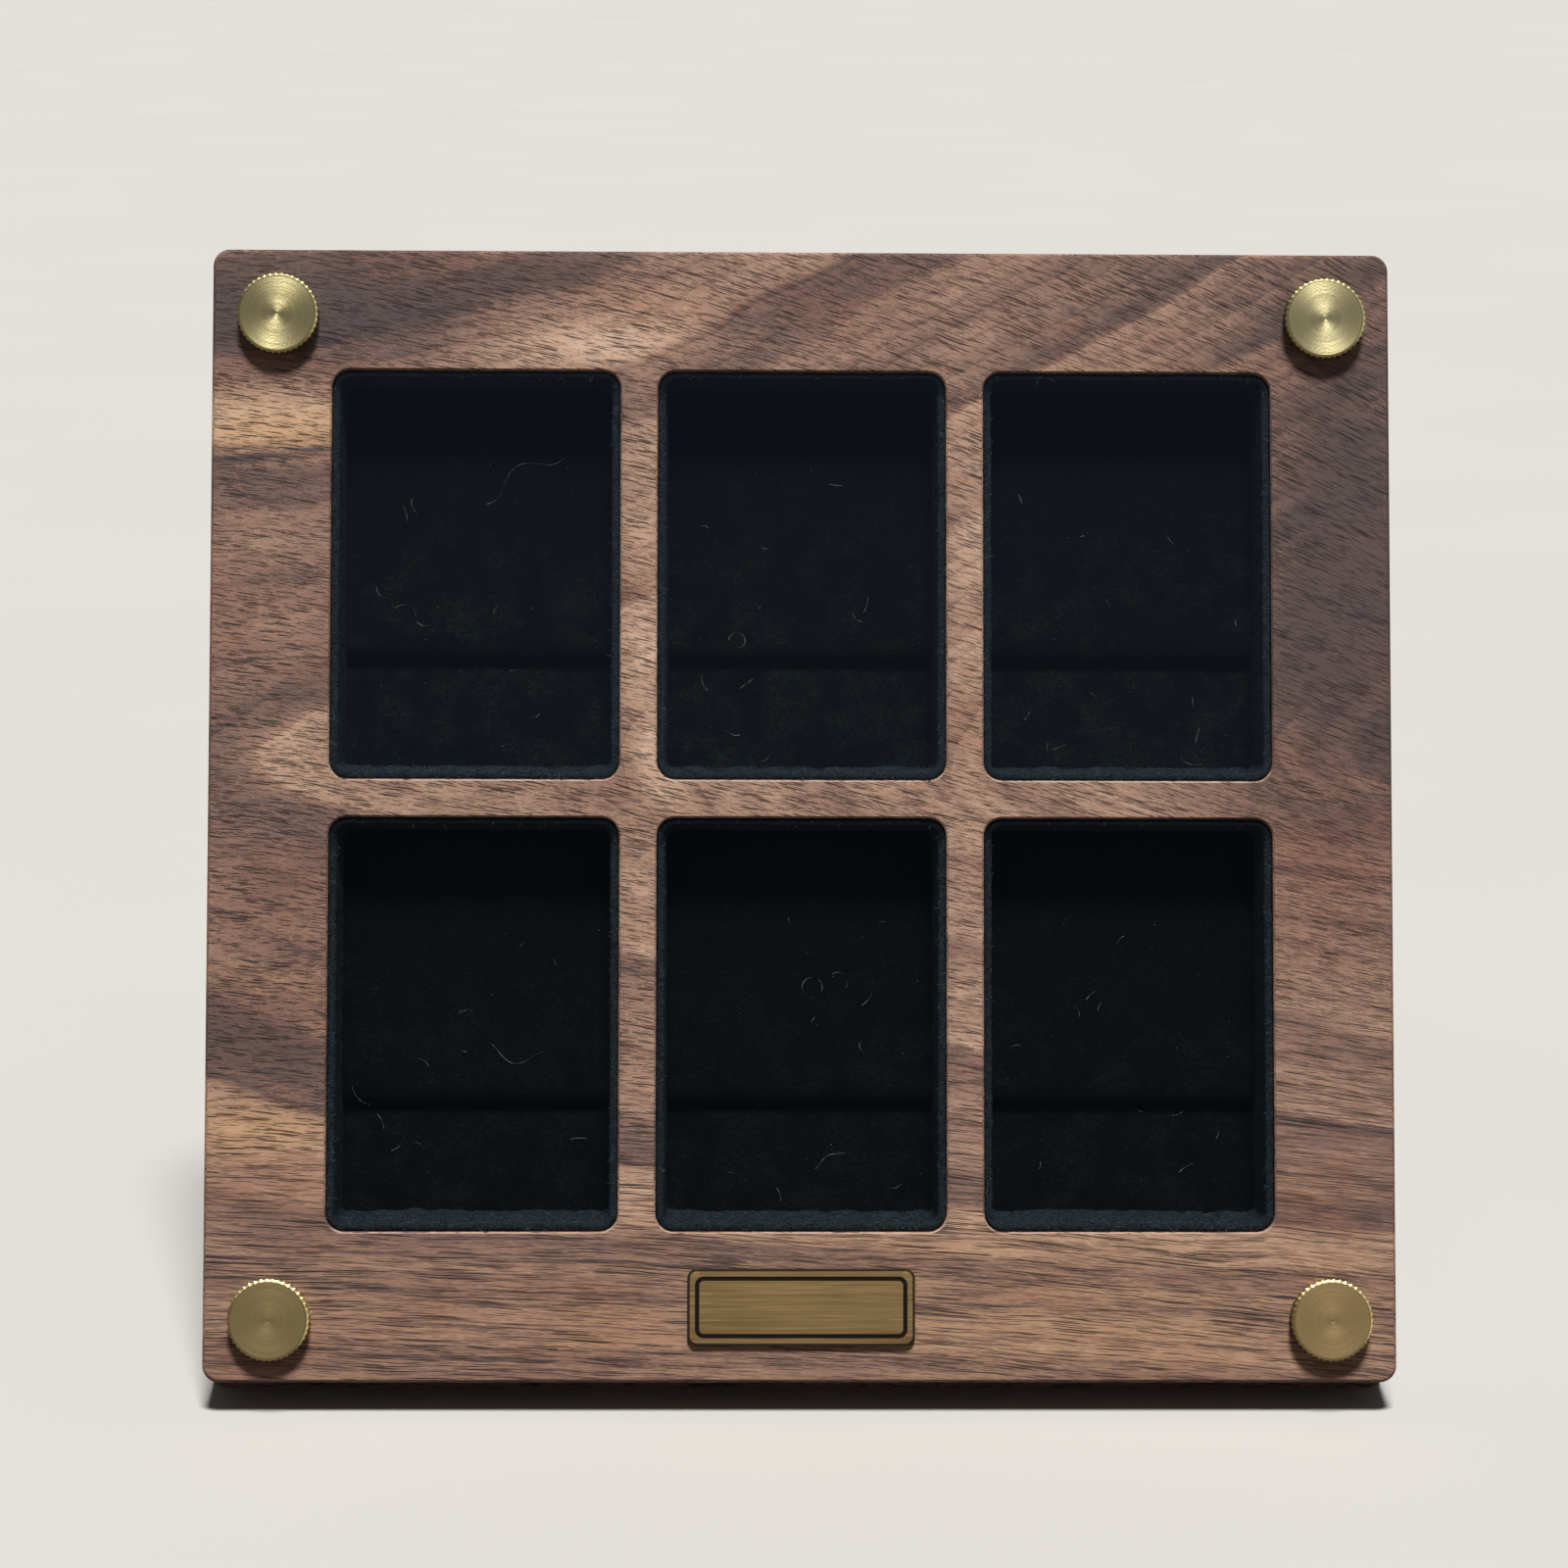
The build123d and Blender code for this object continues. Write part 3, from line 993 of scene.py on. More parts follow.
@dataclass
class FrontFrame:
    """Walnut front with its six windows."""

    edge_round: float = 0.12 * MM

    def build(self) -> None:
        """Stands a soft-edged copy in for the frame."""
        rows = (
            (-76.0, 137.5, 13.0, 4.0, 0.48, 0.0, 0.6),
            (-82.0, 133.1, 3.0, 0.45, -0.5),
            (-77.5, 133.8, 3.6, 0.4, -0.5),
            (-72.0, 134.6, 3.6, 0.35, -0.45),
            (-70.0, 154.0, 26.0, 8.0, -0.62),
            (-30.0, 150.5, 20.0, 4.0, 0.32),
            (-30.0, 161.0, 26.0, 3.5, -0.18),
            (-22.0, 112.0, 5.0, 34.0, 0.36),
            (-22.0, 50.0, 5.0, 30.0, 0.12),
            (25.0, 115.0, 5.0, 34.0, 0.22),
            (25.0, 45.0, 5.0, 26.0, 0.12),
            (0.0, 85.0, 70.0, 5.0, 0.06),
            (46.0, 84.0, 18.0, 4.0, 0.14),
            (80.0, 122.0, 13.0, 34.0, -0.62),
            (72.0, 158.0, 24.0, 7.0, -0.16),
            (-76.0, 91.0, 7.0, 8.0, 0.12, -0.5),
            (-76.0, 72.0, 12.0, 8.0, -0.08, 0.22),
            (-77.0, 52.0, 12.0, 9.0, -0.18, 0.22, 0.3),
            (-78.0, 36.0, 10.0, 4.0, 0.18, 0.15, 0.4),
            (76.0, 72.0, 10.0, 12.0, -0.04, 0.3),
            (0.0, 10.0, 90.0, 14.0, 0.02, 0.0, 0.26),
            (45.0, 8.0, 34.0, 10.0, 0.08, 0.06, 0.1),
        )
        patches = tuple(Patch(*row) for row in rows)
        finish = Walnut("walnut_front", case.from_frame, Figure.CATHEDRAL, patches).material()
        piece = Piece("frame_walnut", "front_frame", "walnut_front", ("front_frame",))
        piece.add_copy(finish, self.edge_round)


@dataclass(frozen=True)
class Outline:
    """Rounded outline set in from a plate's edge, at one height."""

    inset: float
    height: float
    corner: float

    def corner_centre(self, half: Vector, side: Vector) -> Vector:
        """Centre of one round corner, from the plate's middle."""
        reach = half.xy - Vector((1.0, 1.0)) * (self.inset + self.corner)
        return Vector((reach.x * side.x, reach.y * side.y))


@dataclass
class NamePlate:
    """Bare brass plate on the bottom rail, with a line engraved inside its edge."""

    corner: float = 1.4 * MM
    edge_round: float = 0.12 * MM
    line_inset: float = 1.1 * MM
    line_width: float = 0.6 * MM
    line_depth: float = 0.1 * MM
    line_slope: float = 0.05 * MM
    line_corner: float = 1.25 * MM
    corner_segments: int = 10
    ease: float = 0.3

    def build(self) -> None:
        """Builds the plate."""
        low, high = case.box("name_plate")
        half = (high - low) / 2
        middle = (high + low) / 2
        sizes = (half.x, half.y, self.corner, self.line_inset, self.line_width, self.line_corner)
        finish = BrushedPlate("brushed_brass", middle, *(size / MM for size in sizes)).material()
        outlines = self._outlines(low.z, high.z)
        shape = bmesh.new()
        face = add_panel(shape, low, Vector((high.x, high.y, low.z)), self.corner, self.corner_segments)
        bmesh.ops.translate(shape, vec=(-middle.x, -middle.y, 0.0), verts=shape.verts)
        for last, following in zip(outlines, outlines[1:]):
            face = push_out(shape, [face])[1]
            for vertex in face.verts:
                side = Vector((math.copysign(1.0, vertex.co.x), math.copysign(1.0, vertex.co.y)))
                turn = (vertex.co.xy - last.corner_centre(half, side)) / last.corner
                vertex.co.xy = following.corner_centre(half, side) + turn * following.corner
                vertex.co.z = following.height
        bmesh.ops.recalc_face_normals(shape, faces=shape.faces)
        bmesh.ops.translate(shape, vec=(middle.x, middle.y, 0.0), verts=shape.verts)
        piece = Piece("plate_brass", "front_frame", "brushed_brass", ("name_plate",))
        piece.add(shape, finish, case.to_frame)

    def _outlines(self, low: float, high: float) -> tuple[Outline, ...]:
        """Outlines of the plate from its back, over its edge and through its line to the field."""
        end = self.line_inset + self.line_width
        end_corner = self.line_corner - self.line_width
        drop = self.edge_round * self.ease
        slope = self.line_slope
        bottom = high - self.line_depth
        return (
            Outline(0.0, low, self.corner),
            Outline(0.0, high - self.edge_round, self.corner),
            Outline(drop, high - drop, self.corner - drop),
            Outline(self.edge_round, high, self.corner - self.edge_round),
            Outline(self.line_inset, high, self.line_corner),
            Outline(self.line_inset + slope, bottom, self.line_corner - slope),
            Outline(end - slope, bottom, end_corner + slope),
            Outline(end, high, end_corner),
        )


@dataclass(frozen=True)
class Hair:
    """A stray hair, placed in millimetres from its pocket's middle, with its turns in radians."""

    across: float
    up: float
    length: float
    heading: float
    curl: float = 0.0
    sway: float = 0.0


@dataclass
class Fuzz:
    """Fine fibres: single hairs, and short curled ones that are made once and laid many times."""

    rng: random.Random
    radius: float = 0.022 * MM
    stride: float = 0.28 * MM
    kinds: int = 14
    sides: int = 4
    least_steps: int = 3
    curl_lengths: tuple[float, float] = (0.35, 1.0)
    most_curl: float = 2.6
    most_sway: float = 0.6

    def add_hair(self, shape: BMesh, hair: Hair, start: Vector) -> None:
        """Adds one hair as a thin bent tube.

        Args:
            shape: Shape to add to.
            hair: The hair.
            start: Where it starts.
        """
        steps = max(self.least_steps, round(hair.length * MM / self.stride))
        ring = bmesh.ops.create_circle(shape, cap_ends=True, segments=self.sides, radius=self.radius)["verts"]
        aim = Vector((math.cos(hair.heading), math.sin(hair.heading), 0.0))
        bmesh.ops.rotate(shape, matrix=aim.to_track_quat("Z", "Y").to_matrix(), verts=ring)
        bmesh.ops.translate(shape, vec=start, verts=ring)
        face = ring[0].link_faces[0]
        for index in range(steps):
            share = (index + 0.5) / steps
            heading = hair.heading + hair.curl * share + hair.sway * math.sin(math.tau * share)
            aim = Vector((math.cos(heading), math.sin(heading), 0.0)) * (hair.length * MM / steps)
            verts, face = push_out(shape, [face])
            bmesh.ops.translate(shape, vec=aim, verts=verts)

    def add_curls(self, shape: BMesh, places: Iterable[Matrix]) -> None:
        """Lays short curled fibres.

        Args:
            shape: Shape to add to.
            places: Where each fibre starts, with its X axis along it.
        """
        kinds = []
        for _ in range(self.kinds):
            one = bmesh.new()
            length = self.rng.uniform(*self.curl_lengths)
            curl = self.rng.uniform(-self.most_curl, self.most_curl)
            sway = self.rng.uniform(-self.most_sway, self.most_sway)
            self.add_hair(one, Hair(0.0, 0.0, length, 0.0, curl, sway), Vector())
            mesh = bpy.data.meshes.new("fibre")
            one.to_mesh(mesh)
            one.free()
            kinds.append(mesh)
        for place in places:
            mesh = self.rng.choice(kinds)
            mesh.transform(place)
            shape.from_mesh(mesh)
            mesh.transform(place.inverted())
        for mesh in kinds:
            bpy.data.meshes.remove(mesh)


class Cushion(Enum):
    """Soft pieces that lie at the back of a pocket."""

    PAD = "pad"
    FLOOR = "floor"


@dataclass
class Pocket:
    """One velvet pocket: wall lining, raised pad, well floor and the dust in it."""

    number: int
    hairs: tuple[Hair, ...] = ()
    bloom_tone: str = "0c0f13"
    wear: float = 0.8
    liner_thickness: float = 1.1 * MM
    liner_radius: float = 2.6 * MM
    corner_segments: int = 8
    side_cuts: int = 64
    wall_cuts: int = 9
    lip_round: float = 0.42
    lip_segments: int = 4
    lumps: tuple[tuple[float, float], ...] = ((0.12 * MM, 2.4 * MM), (0.06 * MM, 0.55 * MM))
    fold_width: float = 1.5 * MM
    fold_reach: float = 5.0 * MM
    fold_uneven: float = 0.35
    uneven_size: float = 2.4 * MM
    side_fold: float = 0.35 * MM
    side_reach: float = 2.0 * MM
    wall_band: float = 0.1 * MM
    inner_radius: float = 1.6 * MM
    square_radius: float = 0.3 * MM
    overlap: float = 0.42 * MM
    shoulder: float = 0.9 * MM
    shoulder_drop: float = 0.45 * MM
    step_shoulder: float = 2.4 * MM
    step_drop: float = 1.3 * MM
    crown: float = 0.1 * MM
    wave: float = 0.08 * MM
    wave_size: float = 5.0 * MM
    grid_cells: int = 56
    fill: float = 0.3
    cover_swell: float = 0.32 * MM
    cover_room: float = 0.21 * MM
    cover_rim: float = 1.0 * MM
    cover_ease: float = 2.6 * MM
    cover_slack: float = 0.006
    cover_pressure: float = 2.0
    cloth_scale: float = 20.0
    cloth_frames: int = 14
    cloth_quality: int = 5
    speck_count: int = 40
    speck_sizes: tuple[float, float] = (0.02 * MM, 0.06 * MM)
    speck_across: float = 18.0
    speck_up: float = 27.0
    stray_count: int = 9
    stray_spans: tuple[tuple[float, float], ...] = (
        (-16.0, 16.0), (-26.0, 16.0), (0.8, 2.6), (0.0, math.tau), (-1.8, 1.8),
    )
    fuzz_count: int = 640
    fuzz_radius: float = 0.032 * MM
    fuzz_lift: float = 0.02 * MM
    lip_margin: float = 2.0 * MM
    lip_fall: float = 0.3 * MM
    lip_inset: tuple[float, float] = (0.05, 0.95)
    lip_tilt: tuple[float, float] = (-0.35, 0.1)
    wall_fuzz_count: int = 620
    wall_margin: float = 2.4 * MM
    wall_depths: tuple[float, float] = (0.05, 0.9)
    wall_drag: float = 3.2

    def build(self) -> None:
        """Builds the pocket's soft pieces and its dust."""
        self.rng = random.Random(self.number * 17 + 5)
        self.seed = Vector((self.number * 3.7, self.number * 1.3, self.number * 0.9))
        self._add_liner()
        for part in Cushion:
            self._add_cushion(part)
        self._add_lint()

    def _finish(self, part: str, **changes: Any) -> bpy.types.Material:
        """Velvet of one part of this pocket."""
        seed = self.number * 0.21 + len(part) * 0.037
        values = {"bloom_tone": self.bloom_tone, "wear": self.wear, **changes}
        return Velvet(f"velvet_{part}_{self.number}", seed, **values).material()

    def _add_liner(self) -> None:
        """Ring of velvet-covered board with a round, uneven lip and a fold at its foot."""
        node = f"pocket_liner_{self.number}"
        low, high = case.box(node)
        shape = bmesh.new()
        add_panel(shape, low, high, self.liner_radius, self.corner_segments)
        sides = sorted(shape.edges, key=BMEdge.calc_length)[-4:]
        bmesh.ops.subdivide_edges(shape, edges=sides, cuts=self.side_cuts)
        ring = bmesh.ops.inset_region(
            shape, faces=shape.faces[:], thickness=self.liner_thickness, depth=0.0, use_boundary=True,
            use_even_offset=True,
        )["faces"]
        middle = [face for face in shape.faces if face not in ring]
        bmesh.ops.delete(shape, geom=middle, context="FACES")
        self._thicken(shape, low.z - high.z)
        lip = [
            edge for edge in shape.edges
            if edge.calc_face_angle(0.0) > SHARP_ANGLE
            and all(abs(vertex.co.z - high.z) < WELD_DISTANCE for vertex in edge.verts)
        ]
        bmesh.ops.bevel(
            shape, geom=lip, offset=self.liner_thickness * self.lip_round, segments=self.lip_segments,
            profile=ROUND_PROFILE, affect="EDGES", material=-1, clamp_overlap=False,
        )
        self._fold_in(shape, low, high)
        for amount, size in self.lumps:
            jitter(shape, amount, size, self.seed)
        piece = Piece(f"liner_velvet_{self.number}", "front_frame", "velvet_lining", (node,))
        looks = {"dark_tone": "0c1013", "pile_tone": "2b3439", "wear": 0.5, "drag": 0.22}
        piece.add(shape, self._finish("liner", top=high.y / MM, **looks), case.to_frame)
        shape = bmesh.new()
        fuzz = Fuzz(self.rng, self.fuzz_radius)
        fuzz.add_curls(shape, self._lip_places(low, high) + self._foot_places(low, high))
        piece = Piece(f"liner_fuzz_{self.number}", "front_frame", "velvet_lining", ())
        piece.add(shape, Lint(piece.name, "0e1315", "485358").material(), case.to_frame)

    def _fold_in(self, shape: BMesh, low: Vector, high: Vector) -> None:
        """Draws the inner wall in towards the foot of the pocket, most of all along its lower side."""
        middle = (low + high) / 2
        half = (high - low) / 2 - Vector((1.0, 1.0, 0.0)) * self.liner_thickness
        for vertex in shape.verts:
            off = vertex.co - middle
            if abs(off.x) > half.x + self.wall_band or abs(off.y) > half.y + self.wall_band:
                continue
            sink = eased((high.z - vertex.co.z) / (high.z - low.z))
            near_foot = clamped((-off.y - half.y + self.fold_reach) / self.fold_reach)
            ripple = noise.noise(Vector((vertex.co.x / self.uneven_size, 0.0, 0.0)) + self.seed)
            uneven = 1.0 + self.fold_uneven * ripple
            vertex.co.y += sink * near_foot * near_foot * self.fold_width * uneven
            near_side = clamped((abs(off.x) - half.x + self.side_reach) / self.side_reach)
            vertex.co.x -= math.copysign(sink * near_side * self.side_fold, off.x)

    def _lip_places(self, low: Vector, high: Vector) -> list[Matrix]:
        """Random places for fibres along the lip, each with its own heading."""
        weights = {"left": 6, "right": 7, "top": 1, "bottom": 5}
        places = []
        for _ in range(self.fuzz_count):
            inset = self.rng.uniform(*self.lip_inset) * self.liner_thickness
            x = self.rng.uniform(low.x + self.lip_margin, high.x - self.lip_margin)
            y = self.rng.uniform(low.y + self.lip_margin, high.y - self.lip_margin)
            side = self.rng.choices(list(weights), list(weights.values()))[0]
            x = {"left": low.x + inset, "right": high.x - inset}.get(side, x)
            y = {"bottom": low.y + inset, "top": high.y - inset}.get(side, y)
            edge = abs(inset / self.liner_thickness - 0.5) * 2
            z = high.z - self.lip_fall * edge * edge + self.fuzz_lift
            turn = Matrix.Rotation(self.rng.uniform(0, math.tau), 4, "Z")
            tilt = Matrix.Rotation(self.rng.uniform(*self.lip_tilt), 4, "Y")
            places.append(Matrix.Translation((x, y, z)) @ turn @ tilt)
        return places

    def _foot_places(self, low: Vector, high: Vector) -> list[Matrix]:
        """Random places for fibres on the lower wall of the pocket, flat against it."""
        flat = Matrix.Rotation(math.radians(90.0), 4, "X")
        along = Matrix.Diagonal((1.0, self.wall_drag, 1.0, 1.0))
        places = []
        for _ in range(self.wall_fuzz_count):
            x = self.rng.uniform(low.x + self.wall_margin, high.x - self.wall_margin)
            depth = self.rng.uniform(*self.wall_depths)
            y = low.y + self.liner_thickness + eased(depth) * self.fold_width + self.fuzz_lift
            z = high.z + depth * (low.z - high.z)
            turn = Matrix.Rotation(self.rng.uniform(0, math.tau), 4, "Z")
            places.append(Matrix.Translation((x, y, z)) @ flat @ along @ turn)
        return places

    def _thicken(self, shape: BMesh, depth: float) -> None:
        """Gives a flat sheet its depth, in several steps."""
        verts = push_out(shape, shape.faces[:])[0]
        bmesh.ops.translate(shape, vec=(0.0, 0.0, depth), verts=verts)
        bmesh.ops.recalc_face_normals(shape, faces=shape.faces)
        tall = [edge for edge in shape.edges if abs(edge.verts[0].co.z - edge.verts[1].co.z) > abs(depth) / 2]
        bmesh.ops.subdivide_edges(shape, edges=tall, cuts=self.wall_cuts, use_grid_fill=True)

    def _add_cushion(self, part: Cushion) -> None:
        """Pad or floor: a sheet that rolls over at its edges, closed down to its seat."""
        node = f"pocket_{part.value}_{self.number}"
        low, high = case.box(node)
        low.x -= self.overlap
        high.x += self.overlap
        if part is Cushion.PAD:
            high.y += self.overlap
        else:
            low.y -= self.overlap
        half = (high - low) / 2
        middle = (high + low) / 2
        shape = bmesh.new()
        bmesh.ops.create_grid(shape, x_segments=self.grid_cells, y_segments=self.grid_cells, size=1.0)
        for vertex in shape.verts:
            place = self._gathered(vertex.co.x, half.x), self._gathered(vertex.co.y, half.y)
            vertex.co = self._rolled(part, place, half, high.z)
        rim = [edge for edge in shape.edges if edge.is_boundary]
        skirt = bmesh.ops.extrude_edge_only(shape, edges=rim)["geom"]
        for vertex in (item for item in skirt if isinstance(item, BMVert)):
            vertex.co.z = low.z
        open_edges = [edge for edge in shape.edges if edge.is_boundary]
        bmesh.ops.edgeloop_fill(shape, edges=open_edges)
        bmesh.ops.recalc_face_normals(shape, faces=shape.faces)
        looks = {}
        if part is Cushion.PAD:
            looks["top"] = high.y / MM
            self._settle_cover(shape, half)
        bmesh.ops.translate(shape, vec=(middle.x, middle.y, 0.0), verts=shape.verts)
        slot = f"velvet_{part.value}"
        piece = Piece(f"{part.value}_velvet_{self.number}", "case_back", slot, (node,))
        made = piece.add(shape, self._finish(part.value, **looks), case.to_frame)

    def _settle_cover(self, shape: BMesh, half: Vector) -> None:
        """Lets the velvet cover swell over its foam as simulated cloth, held round its edges.

        The cloth is worked out on a copy at a larger scale, where the solver is steady. What it finds
        is scaled back, softly capped and applied to the shape.

        Args:
            shape: Pad about its own middle, closed.
            half: Half its size.
        """
        mesh = bpy.data.meshes.new("cover")
        shape.to_mesh(mesh)
        mesh.transform(Matrix.Scale(self.cloth_scale, 4))
        cover = linked("cover", mesh)
        held = cover.vertex_groups.new(name="held")
        shape.verts.index_update()
        seat = min(vertex.co.z for vertex in shape.verts)
        for vertex in shape.verts:
            inside = min(half.x - abs(vertex.co.x), half.y - abs(vertex.co.y))
            free = clamped((inside - self.cover_rim) / (self.cover_ease - self.cover_rim))
            if vertex.co.z < seat + WELD_DISTANCE:
                free = 0.0
            held.add([vertex.index], 1.0 - free, "REPLACE")
        cloth = cover.modifiers.new("cloth", "CLOTH")
        cloth.collision_settings.use_collision = False
        cloth.settings.vertex_group_mass = held.name
        cloth.settings.quality = self.cloth_quality
        cloth.settings.shrink_min = -self.cover_slack
        cloth.settings.use_pressure = True
        cloth.settings.uniform_pressure_force = self.cover_pressure
        cloth.settings.effector_weights.gravity = 0.0
        scene = bpy.context.scene
        for index in range(1, self.cloth_frames + 1):
            scene.frame_set(index)
        settled = cover.evaluated_get(bpy.context.evaluated_depsgraph_get()).data.vertices
        for vertex in shape.verts:
            move = settled[vertex.index].co / self.cloth_scale - vertex.co
            vertex.co += move * self.cover_swell / (self.cover_swell + move.length)
        scene.frame_set(1)
        bpy.data.objects.remove(cover)
        bpy.data.meshes.remove(mesh)

    @staticmethod
    def _gathered(share: float, half: float) -> float:
        """Spreads even grid lines so that they gather towards the edges."""
        return half * share * (1.5 - 0.5 * share * share)

    def _rolled(self, part: Cushion, place: tuple[float, float], half: Vector, top: float) -> Vector:
        """Puts a grid point on the cushion's surface.

        Args:
            part: Pad or floor.
            place: Place of the point from the cushion's middle.
            half: Half the cushion's size.
            top: Height of its highest point.

        Returns:
            The point.
        """
        x, y = place
        is_pad = part is Cushion.PAD
        radius = self.inner_radius if is_pad == (y > 0) else self.square_radius
        corner = Vector((abs(x) - half.x + radius, abs(y) - half.y + radius))
        if corner.x > 0 and corner.y > 0:
            corner *= max(corner) / corner.length
            x = math.copysign(half.x - radius + corner.x, x)
            y = math.copysign(half.y - radius + corner.y, y)
            inside = radius - corner.length
        else:
            inside = min(half.x - abs(x), half.y - abs(y))
        fall = (1 - min(inside / self.shoulder, 1.0)) ** 2 * self.shoulder_drop
        if is_pad and place[1] < 0:
            step = (1 - min((half.y - abs(y)) / self.step_shoulder, 1.0)) ** 2 * self.step_drop
            fall = max(fall, step)
        swell = self.crown * (1 - (x / half.x) ** 2) * (1 - (y / half.y) ** 2)
        ripple = noise.noise(Vector((x, y, 0.0)) / self.wave_size + self.seed) * self.wave
        room = self.cover_room if is_pad else 0.0
        return Vector((x, y, top - room - self.crown - self.wave - fall + swell + ripple))

    def _add_lint(self) -> None:
        """Hairs and specks of dust on the pad and the floor, as one piece."""
        low, high = case.box(f"pocket_floor_{self.number}")
        middle = (low + high) / 2
        pad_low, pad_high = case.box(f"pocket_pad_{self.number}")
        tops = (pad_high.z, high.z)
        step = pad_low.y + self.step_shoulder
        draw = self.rng.uniform
        fuzz = Fuzz(self.rng)
        shape = bmesh.new()
        strays = tuple(
            Hair(*(draw(*span) for span in self.stray_spans)) for _ in range(self.stray_count)
        )
        for hair in self.hairs + strays:
            x = middle.x + hair.across * MM
            y = middle.y + hair.up * MM
            fuzz.add_hair(shape, hair, Vector((x, y, tops[y < step])))
        for _ in range(self.speck_count):
            x = middle.x + draw(-self.speck_across, self.speck_across) * MM
            y = middle.y + draw(-self.speck_up, self.speck_up) * MM
            size = draw(*self.speck_sizes)
            made = bmesh.ops.create_icosphere(shape, subdivisions=1, radius=size)["verts"]
            bmesh.ops.translate(shape, vec=(x, y, tops[y < step] - size * 0.5), verts=made)
        piece = Piece(f"pocket_lint_{self.number}", "case_back", "velvet_pad", ())
        piece.add(shape, Lint(f"lint_{self.number}").material(), case.to_frame)


@dataclass
class ThumbScrew:
    """One knurled brass thumb screw, its threaded stud and its insert."""

    number: int
    tone: str
    roughness: float
    scratches: float
    turn: float
    pip: float = 0.0
    teeth: int = 42
    tooth_cuts: tuple[float, ...] = (1.0, 0.55, 0.0, 0.55)
    knurl_depth: float = 0.2 * MM
    face_inset: float = 0.5 * MM
    face_step: float = 0.07 * MM
    face_lip: float = 0.02 * MM
    bevel_drop: float = 0.24 * MM
    ring_count: int = 58
    ring_depth: float = 0.028 * MM
    ring_crease: float = math.radians(4.0)
    thread_pitch: float = 0.7 * MM
    thread_depth: float = 0.32 * MM
    thread_crest: tuple[float, float] = (0.4, 0.6)
    turn_steps: int = 28
    insert_round: float = 0.1 * MM

    def build(self) -> None:
        """Builds the head, the stud and the insert."""
        self._add_head()
        self._add_stud()
        self._add_insert()

    @staticmethod
    def _inset_ring(shape: BMesh, face: BMFace, radius: float, height: float) -> None:
        """Insets the top face to a true circle at one height.

        Args:
            shape: Shape of the head.
            face: Its top face.
            radius: Radius of the circle.
            height: Height of the circle.
        """
        reach = max(vertex.co.xy.length for vertex in face.verts)
        bmesh.ops.inset_individual(shape, faces=[face], thickness=reach - radius, depth=0.0)
        for vertex in face.verts:
            vertex.co.xy = vertex.co.xy.normalized() * radius
            vertex.co.z = height

    def _add_head(self) -> None:
        """Straight knurl, rounded edge and faced-off top with lathe rings."""
        node = f"screw_head_{self.number}"
        low, high = case.box(node)
        centre = (low + high) / 2
        radius = (high.x - low.x) / 2
        height = high.z - low.z
        shape = bmesh.new()
        steps = len(self.tooth_cuts)
        bmesh.ops.create_circle(shape, cap_ends=True, segments=self.teeth * steps, radius=radius)
        for index, vertex in enumerate(sorted(shape.verts, key=lambda v: math.atan2(v.co.y, v.co.x))):
            cut = self.tooth_cuts[index % steps] * self.knurl_depth
            vertex.co.xy = vertex.co.xy.normalized() * (radius - cut)
        verts, top = push_out(shape, shape.faces[:])
        bmesh.ops.translate(shape, vec=(0.0, 0.0, height - self.face_step - self.bevel_drop), verts=verts)
        face_radius = radius - self.face_inset
        self._inset_ring(shape, top, face_radius + self.face_lip, height - self.face_step)
        self._inset_ring(shape, top, face_radius, height)
        rng = random.Random(self.number)
        for index in range(1, self.ring_count):
            share = 1 - index / self.ring_count
            depth = self.ring_depth * rng.uniform(0.8, 1.15)
            dip = depth * (index % 2) + self.pip * max(0.0, 1 - share * 6)
            self._inset_ring(shape, top, face_radius * share, height - dip)
        bmesh.ops.recalc_face_normals(shape, faces=shape.faces)
        bmesh.ops.rotate(shape, matrix=Matrix.Rotation(self.turn, 3, "Z"), verts=shape.verts)
        place = case.to_frame @ Matrix.Translation((centre.x, centre.y, low.z))
        looks = (self.tone, self.scratches, self.roughness, face_radius / MM)
        finish = TurnedBrass(f"turned_brass_{self.number}", place.inverted(), *looks).material()
        piece = Piece(f"head_brass_{self.number}", f"head_{self.number}", "turned_brass", (node,))
        piece.add(shape, finish, place, self.ring_crease)

    def _add_stud(self) -> None:
        """Stud with a helical thread, cut square at both ends."""
        node = f"screw_stud_{self.number}"
        low, high = case.box(node)
        centre = (low + high) / 2
        radius = (high.x - low.x) / 2
        length = high.z - low.z
        turns = math.ceil(length / self.thread_pitch) + 2
        shape = bmesh.new()
        root = radius - self.thread_depth
        starts, ends = (share * self.thread_pitch for share in self.thread_crest)
        places = ((root, 0.0), (radius, starts), (radius, ends), (root, self.thread_pitch))
        verts = [shape.verts.new((reach, 0.0, up)) for reach, up in places]
        edges = [shape.edges.new(pair) for pair in zip(verts, verts[1:])]
        bmesh.ops.spin(
            shape, geom=verts + edges, cent=(0, 0, 0), axis=(0, 0, 1), angle=math.tau * turns,
            dvec=(0, 0, self.thread_pitch / self.turn_steps), steps=self.turn_steps * turns, use_merge=False,
        )
        bmesh.ops.remove_doubles(shape, verts=shape.verts, dist=WELD_DISTANCE)
        for height, out in ((self.thread_pitch, -1.0), (self.thread_pitch + length, 1.0)):
            slice_at(shape, (0, 0, height), (0, 0, out), trim=True)
        bmesh.ops.holes_fill(shape, edges=[edge for edge in shape.edges if edge.is_boundary], sides=0)
        bmesh.ops.recalc_face_normals(shape, faces=shape.faces)
        place = case.to_frame @ Matrix.Translation((centre.x, centre.y, low.z - self.thread_pitch))
        piece = Piece(f"stud_brass_{self.number}", f"stud_{self.number}", "stud_brass", (node,))
        piece.add(shape, PlainBrass(f"stud_brass_{self.number}").material(), place)

